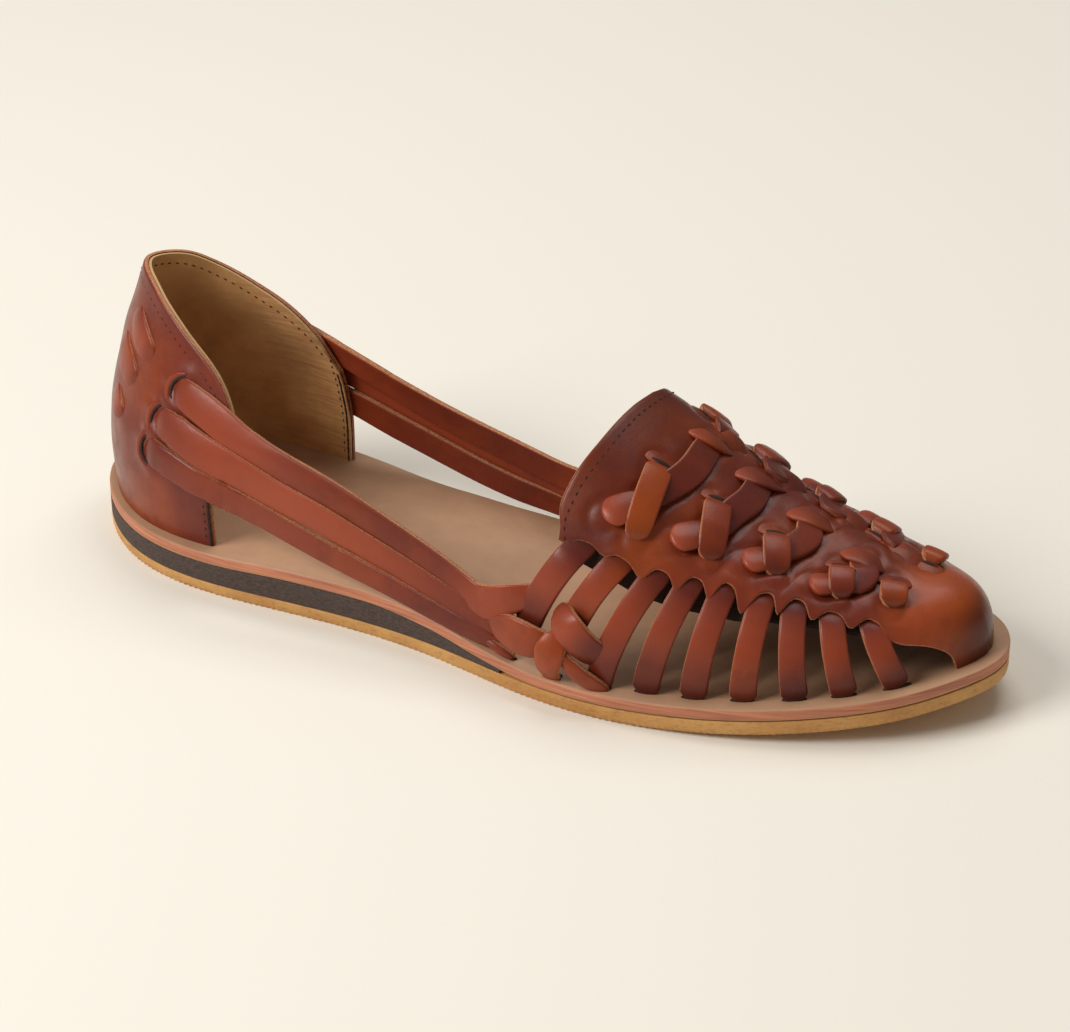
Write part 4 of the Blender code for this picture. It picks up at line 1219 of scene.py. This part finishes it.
def visor(surface, ends, depth, rise, thick, warm, sink, tones):
    """The base leather lifted over a strap. Across from one end of its mouth (-1) to the other
    (1) it is an arch, (1 - across squared) to 0.45 at the mouth and to 1.8 at its root; back
    from the mouth (0) to its root (1) it falls in an S of t = behind to 1.4, 1 - (3 t squared -
    2 t cubed). The mouth's line is straight in the middle and turns back at its ends; sides
    and root sink into the leather around. The tones, painted highlight and painted shade, run
    from one end of the mouth to past its middle, and fade to painted shade at the root."""
    centre, half, mouth, back, basis = mouth_frame(surface, ends)
    across = -np.cos(np.linspace(0, np.pi, 25))[None]
    behind = ((1 - np.cos(np.linspace(0, np.pi, 15))) / 2)[:, None]
    wide = half * across * np.sqrt(1 - 0.6 * behind ** 2)
    deep = depth * behind - 0.3 * half * (1 - across ** 4) * (1 - behind)
    offset = wide[..., None] * mouth + deep[..., None] * back
    moved = steps_for(basis, offset)
    a = centre[0] + moved[..., 0]
    b = centre[1] + moved[..., 1]
    arch = np.clip(1 - across ** 2, 0, 1) ** (0.45 + 1.35 * behind)
    fall = behind ** 1.4
    arch = arch * (1 - fall ** 2 * (3 - 2 * fall))
    points = surface(a, b)
    out = facing(surface, a, b, inside_of(points))
    points = points + out * (arch * (rise + sink) - sink)[..., None]
    # painted light across the mouth from the tones, fading to painted shade at the root
    painted_light_and_tone = np.interp(across, [-1, 0.2], tones) * (1 - behind) - 0.2 * behind
    made = shell(points, out, thick, painted_light_and_tone=painted_light_and_tone, edge_cut=0.0, radius=0.3)
    return {**made, "warm": np.tile((warm * (1 - behind) * np.ones(across.shape)).ravel(), 2)}


def visors():
    """Two for each row of the weave, one each side of the top line, that the woven straps go
    under, and a small one over the upper end of each upright strip."""
    made = []
    for side in BOTH:
        surface = mirrored(side)
        for x, around, far_x, far_around, depth, rise in VISORS[side]:
            ends = ((x, around), (far_x, far_around))
            # a painted highlight at the mouth's first end, painted shade towards the other
            tones = (0.75, -0.35)
            made.append(visor(surface, ends, depth, rise, 0.9, warm=0.15, sink=0.25, tones=tones))
        for top, low, half, _ in strips_of(side):
            centre = np.array(top) * 1.02 - np.array(low) * 0.02
            ends = around_point(surface, centre, low, half + 1.0, 90, 1.0, 1.0, 3)[[0, 2], :2]
            ends = ends[np.argsort(ends[:, 0])]
            # a faint painted highlight at the lip's first end
            tones = (0.2, 0.0)
            made.append(visor(surface, ends, 2.8, 0.55, 0.45, warm=0.2, sink=0.2, tones=tones))
    return made


def side_straps():
    """Eighteen straps from slots in the footbed up under the band's arches. Each leans on the
    vamp's own surface, bellies out a little and dips under the band at its top."""
    made = []
    for side in BOTH:
        for number, (foot, top, around, _) in enumerate(zip(*SIDE_STRAPS[side].values())):
            height = float(smooth(CREST, "height", foot))
            sunk = -np.degrees(SIDE_STRAP / height)
            start_a = (9.0, 12.0)[number] if number < 2 else sunk * 0.45
            share = np.array([0.0, 0.05, 0.25, 0.5, 0.75, 0.92, 1.0, 1.12])
            a = start_a + (around - start_a) * share
            lean = np.clip((a - sunk) / (around - sunk), 0, None)
            x = foot + (top - 0.4 - foot) * lean ** 1.2
            half = np.array([1.0, 1.0, 0.98, 0.95, 0.95, 0.95, 0.93, 0.9])
            half = half * np.interp(number, [0, 1, 2, 8], [3.9, 3.7, 3.5, 3.35])
            lift = np.array([-0.9, -0.7, -0.2, -0.1, -0.5, -1.3, -2.0, -2.7])
            lift[:5] += 1.0 if number == 0 else 0.0
            lift[:3] += 1.0 if number == 2 else 0.0
            rows = np.column_stack([x, a, half, lift, np.zeros(8)])
            # painted shade at the foot and at the top under the band's arch, a painted highlight along the
            # middle
            tones = (-0.8, -0.25, 0.2, 0.5, 0.5, 0.25, -0.25, -0.7)
            strap = laid(mirrored(side), rows, SIDE_STRAP, 0.4, tones=tones, end=2.4, bare=-side)
            warm = (-0.5, 0.1, -0.55, -0.45, -0.35, 0.05, -0.5, 0.0, -0.1)[number]
            made.append({**strap, "warm": warm})
    return made


def long_straps():
    """Three long straps a side and the pieces of the knot, laid on the upper's side."""
    # painted highlight and painted shade along each strap and knot piece, from its first row to its last
    tones = {
        "strap_high": (0.1, 0.55, 0.6, 0.2, 0.0, -0.1, 0.1, 0.5, 0.5),
        "strap_middle": (0.1, 0.6, 0.75, 0.5, 0.2, 0.0),
        "strap_low": (-0.1, 0.35, 0.35, 0.1, 0.0, -0.1),
        "knot_wrap": (-0.3, 0.35, 0.25, -0.3),
        "knot_loop": (0.2, 0.3, -0.1),
        "knot_twist": (0.3, 0.75, 0.0, -0.5),
        "knot_end": (-0.2, 0.2, 0.0),
        "knot_tail": (0.0, 0.2, 0.0),
    }
    warmth = {"knot_loop": 0.6, "knot_wrap": 0.2, "knot_end": 0.2, "knot_twist": -0.5}
    made = []
    for side in BOTH:
        surface = side_surface(side)
        for key, rows in BANDS[side].items():
            thick, crown, end = (KNOT_STRAP, 0.6, 1.2) if key in KNOT else (LONG_STRAP, 0.35, None)
            strap = laid(surface, rows, thick, crown, tones=tones[key], end=end)
            made.append({**strap, "warm": warmth.get(key, -0.15)})
    return made


LEAVES, STRAPS, STRIPS = woven_straps()
SIDES = side_straps()


def vamp_relief(points, station, around):
    """Soft troughs and ridges of the vamp, in millimetres outwards: slow waves where the leather
    is slack, a shallow groove beside each piece of the weave, a swell over the hidden top of
    each side strap but the first, a swell behind each visor and a fold below it. They fade out
    at the throat's edge and on the toe cap."""
    relief = 0.16 * np.sin(station / 6.1 + around / 17.0) * np.sin(around / 11.0)
    for part in LEAVES + STRAPS + STRIPS:
        gap = near_line(points, part["line"][::3])
        relief -= 0.35 * np.exp(-((gap - part["half"].mean() - 0.2) / 1.3) ** 2)
    a_side = len(SIDES) // 2
    for part in SIDES[1:a_side] + SIDES[a_side + 1:]:
        gap = near_line(points, part["line"][-12:])
        relief += 0.5 * np.exp(-(gap / 4.2) ** 2)
    for side in BOTH:
        for row in VISORS[side]:
            surface = mirrored(side)
            centre, half, mouth, back, _ = mouth_frame(surface, (row[:2], row[2:4]))
            gap = points - surface(centre[0], centre[1])
            behind = np.sum(gap * back, axis=-1)
            across = np.sum(gap * mouth, axis=-1)
            swell = np.exp(-(across / half) ** 2 - ((behind - 5.0) / 5.5) ** 2)
            relief += 0.8 * swell * np.clip((behind + 0.5) / 2.5, 0.0, 1.0)
            fold = surface(row[0] + 1.0, row[1] - 9.0)
            relief += 0.4 * np.exp(-(np.linalg.norm(points - fold, axis=-1) / 3.4) ** 2)
    front = np.clip((station - 238.0) / 6.0, 0.0, 1.0)
    edge = np.clip((station - 148.0) / 6.0, 0.0, 1.0)
    return relief * (1 - front) * edge


def vamp_out(station, around):
    """The vamp's outward direction, kept the right way round over the nose."""
    at = np.minimum(station, NOSE_END - 0.05)
    out = facing(vamp_point, at, around, IN_VAMP)
    return turned_out(out, vamp_point(at, around), [200.0, 5.0, 10.0])


def vamp():
    """The vamp's outer leather, 1.1 mm, from the throat's edge over the toe cap. It carries painted
    shade along the top line and at the nose and a painted highlight on the toe cap, is darker
    near the throat, warmer low down and on the toe cap, and has a pale raw rim at the cut-outs
    beside the cap."""
    station, around = vamp_grid(0.72, lambda x: scallop(LATERAL, x), lambda x: scallop(MEDIAL, x))
    flat = vamp_point(station, around)
    out = vamp_out(station, around)
    points = flat + out * vamp_relief(flat, station, around)[..., None]
    # slow waves lighter and darker, and painted shade along the top line
    painted_light_and_tone = 0.08 * np.sin(station / 13.0) - 0.25 * np.exp(-((around - 90) / 30) ** 2)
    painted_light_and_tone = painted_light_and_tone - 0.35 * np.exp(-((station - 154.0) / 13.0) ** 2)
    cap = np.clip((station - 224.0) / 12.0, 0.0, 1.0)
    low = np.exp(-((np.abs(around - 90) - 42) / 16.0) ** 2)
    nose = np.clip((station - 240.0) / 9.0, 0.0, 1.0)
    bare = np.zeros(station.shape)
    bare[:, [1, 2, -3, -2]] = 0.85
    bare *= station > 232.0
    # on the toe cap a painted highlight, and painted shade towards the nose
    painted_light_and_tone = painted_light_and_tone * (1 - cap) + (0.4 - 1.2 * nose) * cap
    made = shell(points, out, VAMP_LEATHER, bare, painted_light_and_tone=painted_light_and_tone)
    warm = np.tile((0.75 * cap + 0.35 * low * (1 - cap)).ravel(), 2)
    return {**made, "warm": warm}


def inner_edge(side):
    """How far round the inner layer's lower edge lies: just under the band's low points."""
    straps = SIDE_STRAPS[side]
    top = straps["top"]
    x = np.concatenate([[top[0] - 6], (top[1:] + top[:-1]) / 2, CAP_CUT[side][0]])
    y = np.concatenate([straps["edge"][:1], straps["edge"][:-1], np.array(CAP_CUT[side][1]) + 0.8])
    return lambda station: np.interp(station, x, y) + 0.4


def vamp_lining():
    """The vamp's inner layer, 0.7 mm: close under the outer one at the top, and far enough in
    at the band for the side straps to pass between the two. Its dark flesh colour is painted
    shade where it shows under the band between the straps."""
    station, around = vamp_grid(1.6, inner_edge(LATERAL), inner_edge(MEDIAL), back=0.8)
    out = vamp_out(station, around)
    band = np.minimum(around, 180 - around) - 48.0
    front = np.clip((station - 232.0) / 6.0, 0.0, 1.0)
    depth = 1.15 + 1.9 * (1 - np.clip(band / 14.0, 0.0, 1.0)) * (1 - front)
    points = vamp_point(station, around) - out * depth[..., None]
    return shell(points, out, INNER_LAYER, painted_light_and_tone=-1.0, edge_cut=0.0)


piece("vamp_leather", [vamp()], CALF, "upper")
piece("vamp_inner_layer", [vamp_lining()], FLESH_AND_SHADE)
piece("woven_leaves", LEAVES, CALF, "upper")
piece("woven_straps", STRAPS, CALF, "upper")
piece("woven_strips", STRIPS, CALF, "upper")
piece("lifted_visors", visors(), CALF, "upper")
piece("side_straps", SIDES, CALF, "upper")
piece("long_straps", long_straps(), CALF, "upper")

# ---------------------------------------------------------------- the heel counter


def counter_turn(share, height):
    """Turn at a share (0 to 1) of the way from the outer front edge to the inner one. Low down
    the outer front edge is cut back."""
    cut_back = 0.065 * np.clip((36.0 - height) / 10.0, 0.0, 1.0)
    return -(1 - cut_back) + (2 - cut_back) * share


def counter_out(turn, height):
    """The counter's outward direction, up to just inside its front edges."""
    return facing(counter_point, np.clip(turn, -0.998, 0.998), height, IN_HEEL)


def counter_layer(depth, thick, swells=()):
    """One layer of the counter, at a depth under its outer face, from the footbed to the
    collar, with soft swells round the slots that the straps come out of."""
    along = spaced(1.0, (0.0015, 0.0045, 0.0085), 0.0053)
    share = spaced(1.0, (0.005, 0.013, 0.022), 0.0133)[:, None]
    top = collar_height(2 * along - 1)
    foot = footbed_top(0.0) - 0.4
    height = foot + share * (top - foot)[None]
    turn = counter_turn(along[None], height)
    flat = counter_point(turn, height)
    out = turned_out(counter_out(turn, height), flat, [50.0, -2.0, 30.0])
    flat[..., 2] += (1 - share) * (footbed_top(flat[..., 0]) - footbed_top(0.0))
    relief = np.zeros(turn.shape)
    for line, half, rise in swells:
        relief += rise * np.exp(-(near_line(flat, line) / half) ** 2)
    edge = np.clip(np.minimum(along, 1 - along) / 0.05, 0.0, 1.0)
    return shell(flat + out * (relief * edge - depth)[..., None], out, thick)


def heel_patches():
    """Lens shaped patches at the counter's back, laced through it: pointed at both ends, raised
    in the middle and sunk at the ends."""
    made = []
    for side in BOTH:
        for route in HEEL_PATCHES:
            lifts = (-1.2, -0.1, 0.25, 0.15)[:len(route) - 1] + (-0.9,)
            rows = [(turn * side, height, half, lift, 0.0)
                    for (turn, height, half), lift in zip(route, lifts)]
            # painted highlight over the raised middle, painted shade at the lower end
            tones = (0.0, 0.2, 0.3, -0.2)
            made.append(laid(counter_point, rows, KNOT_STRAP, 0.3, tones=tones, end=2.4))
    return made


def slot_rims():
    """Rim of each slot in the counter: the leather stands up in an arc behind the strap's end,
    lighter along its middle, a painted highlight, with a dark mouth inside it, a lens of painted
    shade. Returns the rims and the mouths."""
    rims = []
    mouths = []
    for side in BOTH:
        surface = side_surface(side)
        for key in ("strap_high", "strap_middle", "strap_low"):
            rows = BANDS[side][key]
            centre = (np.array(rows[1][:2]) + np.array(rows[2][:2])) / 2
            back = np.array(rows[0][:2])
            rim = around_point(surface, centre, back, 5.1, 80, 0.95, 1.0)
            rim[:, 3] -= 0.35
            # painted highlight along the rim's middle
            rims.append(laid(surface, rim, 1.2, 0.25, tones=(0.0, 0.4, 0.0), end=1.4, raw=0.7))
            # the mouth: a dark lens of painted shade
            mouth = around_point(surface, centre, back, 4.2, 84, 0.5, 0.85)
            mouths.append(laid(surface, mouth, 0.6, 0.0, end=1.0))
    return rims, mouths


PATCHES = heel_patches()
RIMS, MOUTHS = slot_rims()
SWELLS = [(part["line"][::3], 6.0, 0.4) for part in PATCHES]
SWELLS += [(part["line"][::3], 2.8, 0.7) for part in RIMS]
COUNTER_WALL = counter_layer(0.0, COUNTER_LEATHER, SWELLS)
COUNTER_INSIDE = counter_layer(COUNTER_LEATHER + 0.02, COUNTER_LINING)
piece("heel_counter", [COUNTER_WALL], CALF, "upper")
piece("counter_lining", [COUNTER_INSIDE], LINING, "upper")
piece("heel_patches", PATCHES, CALF, "upper")
piece("counter_slot_rims", RIMS, CALF, "upper")


def front_binding():
    """The counter's front edges: a ragged binding round the edge of both layers, 2.5 mm through
    them and about 1.5 mm fore and aft, dark both as their raw cut edge and as painted shade
    inside the edge."""
    columns = 14
    made = []
    for side, high in ((LATERAL, 31.0), (MEDIAL, float(collar_height(1.0)) - 0.6)):
        height = np.linspace(12.4, high, 160)
        wobble = 0.1 * np.sin(height * 2.1) + 0.08 * np.sin(height * 4.7 + 1.0)
        turn = counter_turn(0.0 if side == LATERAL else 1.0, height)
        edge = counter_point(turn - side * 0.012, height)
        out = counter_out(turn, height)
        along = np.gradient(edge, axis=0)
        ahead = np.cross(out, along)
        ahead /= np.linalg.norm(ahead, axis=1)[:, None]
        ahead *= np.where(ahead[:, :1] < 0, -1.0, 1.0)
        spin = np.linspace(0, 2 * np.pi, columns, endpoint=False)
        wide = (0.75 + wobble)[:, None, None]
        ring = edge[:, None] + ahead[:, None] * wide * np.cos(spin)[None, :, None]
        ring = ring + out[:, None] * (1.25 * np.sin(spin)[None, :, None] - 1.05)
        ends = ring[[0, -1]].mean(axis=1, keepdims=True) * np.ones((2, columns, 1))
        ring = np.concatenate([ends[:1], ring, ends[1:]])
        made.append({"points": ring, "quads": grid_quads(len(ring), columns, closed=True)})
    return made


piece("counter_front_binding", front_binding(), FLESH_AND_SHADE, "upper")

# ---------------------------------------------------------------- seams and slots


def seams():
    """Thread in the collar, the throat's edge and the counter's front edges: stitches 1 mm long
    about every 2.3 mm, 2 to 4 mm inside the edge. They show on the leather's outer face, round
    the collar on the lining too, and at the inner front edge on the lining alone."""
    outer_face = 0.05
    lining_face = 2.1
    turn = np.linspace(-0.94, 0.94, 60)
    collar = np.column_stack([turn, collar_height(turn) - 3.0 * (1 + 0.3 * np.abs(turn))])
    around = np.linspace(31.5, 150.0, 60)
    throat = np.column_stack([smooth(THROAT, "station", around) + 2.3, around])
    height = np.linspace(14.0, 27.0, 8)
    corner = np.column_stack([counter_turn(0.0, height) + 0.03, height])
    inner = np.column_stack([counter_turn(1.0, height) - 0.03, np.linspace(14.0, 46.0, 8)])
    return [
        seam(counter_point, collar, 2.4, outer_face, IN_HEEL),
        seam(counter_point, collar, 2.4, lining_face, IN_HEEL),
        seam(vamp_point, throat, 2.3, 0.0, IN_VAMP),
        seam(counter_point, corner, 2.3, outer_face, IN_HEEL),
        seam(counter_point, inner, 2.3, lining_face, IN_HEEL),
    ]


def strip_mouths():
    """A dark lens of painted shade in each strip's slot, seen between the strip's upper end and the lifted
    lip.
    """
    made = []
    for side in BOTH:
        for top, low, half, _ in strips_of(side):
            centre = np.array(top) * 1.015 - np.array(low) * 0.015
            rows = around_point(mirrored(side), centre, low, half * 0.8, 90, 0.55, 0.8, 3)
            rows[1, :2] = centre
            rows[:, 3] = (0.1, 0.5, 0.1)
            made.append(laid(mirrored(side), rows, 0.5, 0.0, end=1.0))
    return made


def on_footbed(station, y):
    """The footbed's top as a surface of station and y."""
    station, y = np.broadcast_arrays(np.asarray(station, float), np.asarray(y, float))
    return np.stack([station, y, footbed_top(station)], axis=-1)


def footbed_slots():
    """Dark slots that the side straps and the knot's ends go down into: thin lenses flush with
    the footbed, painted shade of the slots and of the straps' feet."""
    made = []
    for side in BOTH:
        feet = SIDE_STRAPS[side]["foot"][2:]
        middles = feet + np.interp(feet, [165, 235], [0.3, -0.7])
        places = [(middle, 2.8, -0.3) for middle in middles]
        places += [(139.8, 2.4, 1.3), (153.3, 2.3, 1.0), (167.2, 1.6, 0.5)]
        for foot, reach, out in places:
            x = foot + reach * np.array([-1.0, -0.4, 0.4, 1.0])
            y = side_at(FEATHER[side], x) + side * out
            rows = np.column_stack([x, y, [0.3, 0.7, 0.7, 0.3], np.full(4, -0.2), np.zeros(4)])
            made.append(laid(on_footbed, rows, 0.5, 0.0, corner=0.1))
    return made


piece("seam_thread", seams(), THREAD)
# dark lenses of painted shade in the slots
piece("painted_slot_shade", MOUTHS + footbed_slots() + strip_mouths(), FLESH_AND_SHADE)

# ---------------------------------------------------------------- floor, light and camera


def studio():
    """A pale floor, a white surround, a key softbox over the outer side and one over the top."""
    mesh = bpy.data.meshes.new("studio_floor")
    size = 4.0
    mesh.from_pydata(
        [(-size, -size, 0), (size, -size, 0), (size, size, 0), (-size, size, 0)],
        [],
        [(0, 1, 2, 3)],
    )
    floor = bpy.data.objects.new("studio_floor", mesh)
    made, tree, shader, where = start("painted_sweep")
    cloud = noise(tree, where, 300.0, 1.0)
    colour = blend(tree, cloud, linear("#f3ede0"), linear("#f5efe2"))
    tree.links.new(colour, shader.inputs["Base Color"])
    shader.inputs["Roughness"].default_value = 0.9
    mesh.materials.append(made)
    bpy.context.scene.collection.objects.link(floor)

    world = bpy.data.worlds.new("white_surround")
    world.use_nodes = True
    sky = world.node_tree.nodes["Background"]
    sky.inputs["Color"].default_value = linear("#fbf6ee")
    sky.inputs["Strength"].default_value = 0.24
    bpy.context.scene.world = world

    lamps = (
        ("key_softbox", (-0.75, -0.85, 0.95), (0, 0, 0.03), (0.7, 0.7), 16.0),
        ("top_softbox", (-0.1, 0.45, 1.3), (0, 0, 0), (0.9, 0.9), 8.0),
    )
    for name, place, target, size, power in lamps:
        light = bpy.data.lights.new(name, "AREA")
        light.shape = "RECTANGLE"
        light.size, light.size_y = size
        light.energy = power
        lamp = bpy.data.objects.new(name, light)
        lamp.location = place
        lamp.rotation_euler = (Vector(target) - Vector(place)).to_track_quat("-Z", "Y").to_euler()
        bpy.context.scene.collection.objects.link(lamp)


def camera():
    """The camera: 27 degrees ahead of the outer side and 31 above the floor, 0.87 m away."""
    lens = bpy.data.cameras.new("camera")
    lens.lens = 113.0
    lens.sensor_width = 36.0
    lens.clip_start = 0.01
    made = bpy.data.objects.new("camera", lens)
    made.location = (0.33906, -0.66195, 0.4699)
    aim = Vector((0.0015, 0.0, 0.0265)) - made.location
    made.rotation_euler = aim.to_track_quat("-Z", "Y").to_euler()
    bpy.context.scene.collection.objects.link(made)
    bpy.context.scene.camera = made


studio()
camera()
bpy.context.scene.view_settings.view_transform = "Standard"


def corners(box):
    """A box's two corners as plain lists."""
    return [[float(v) for v in corner] for corner in box]
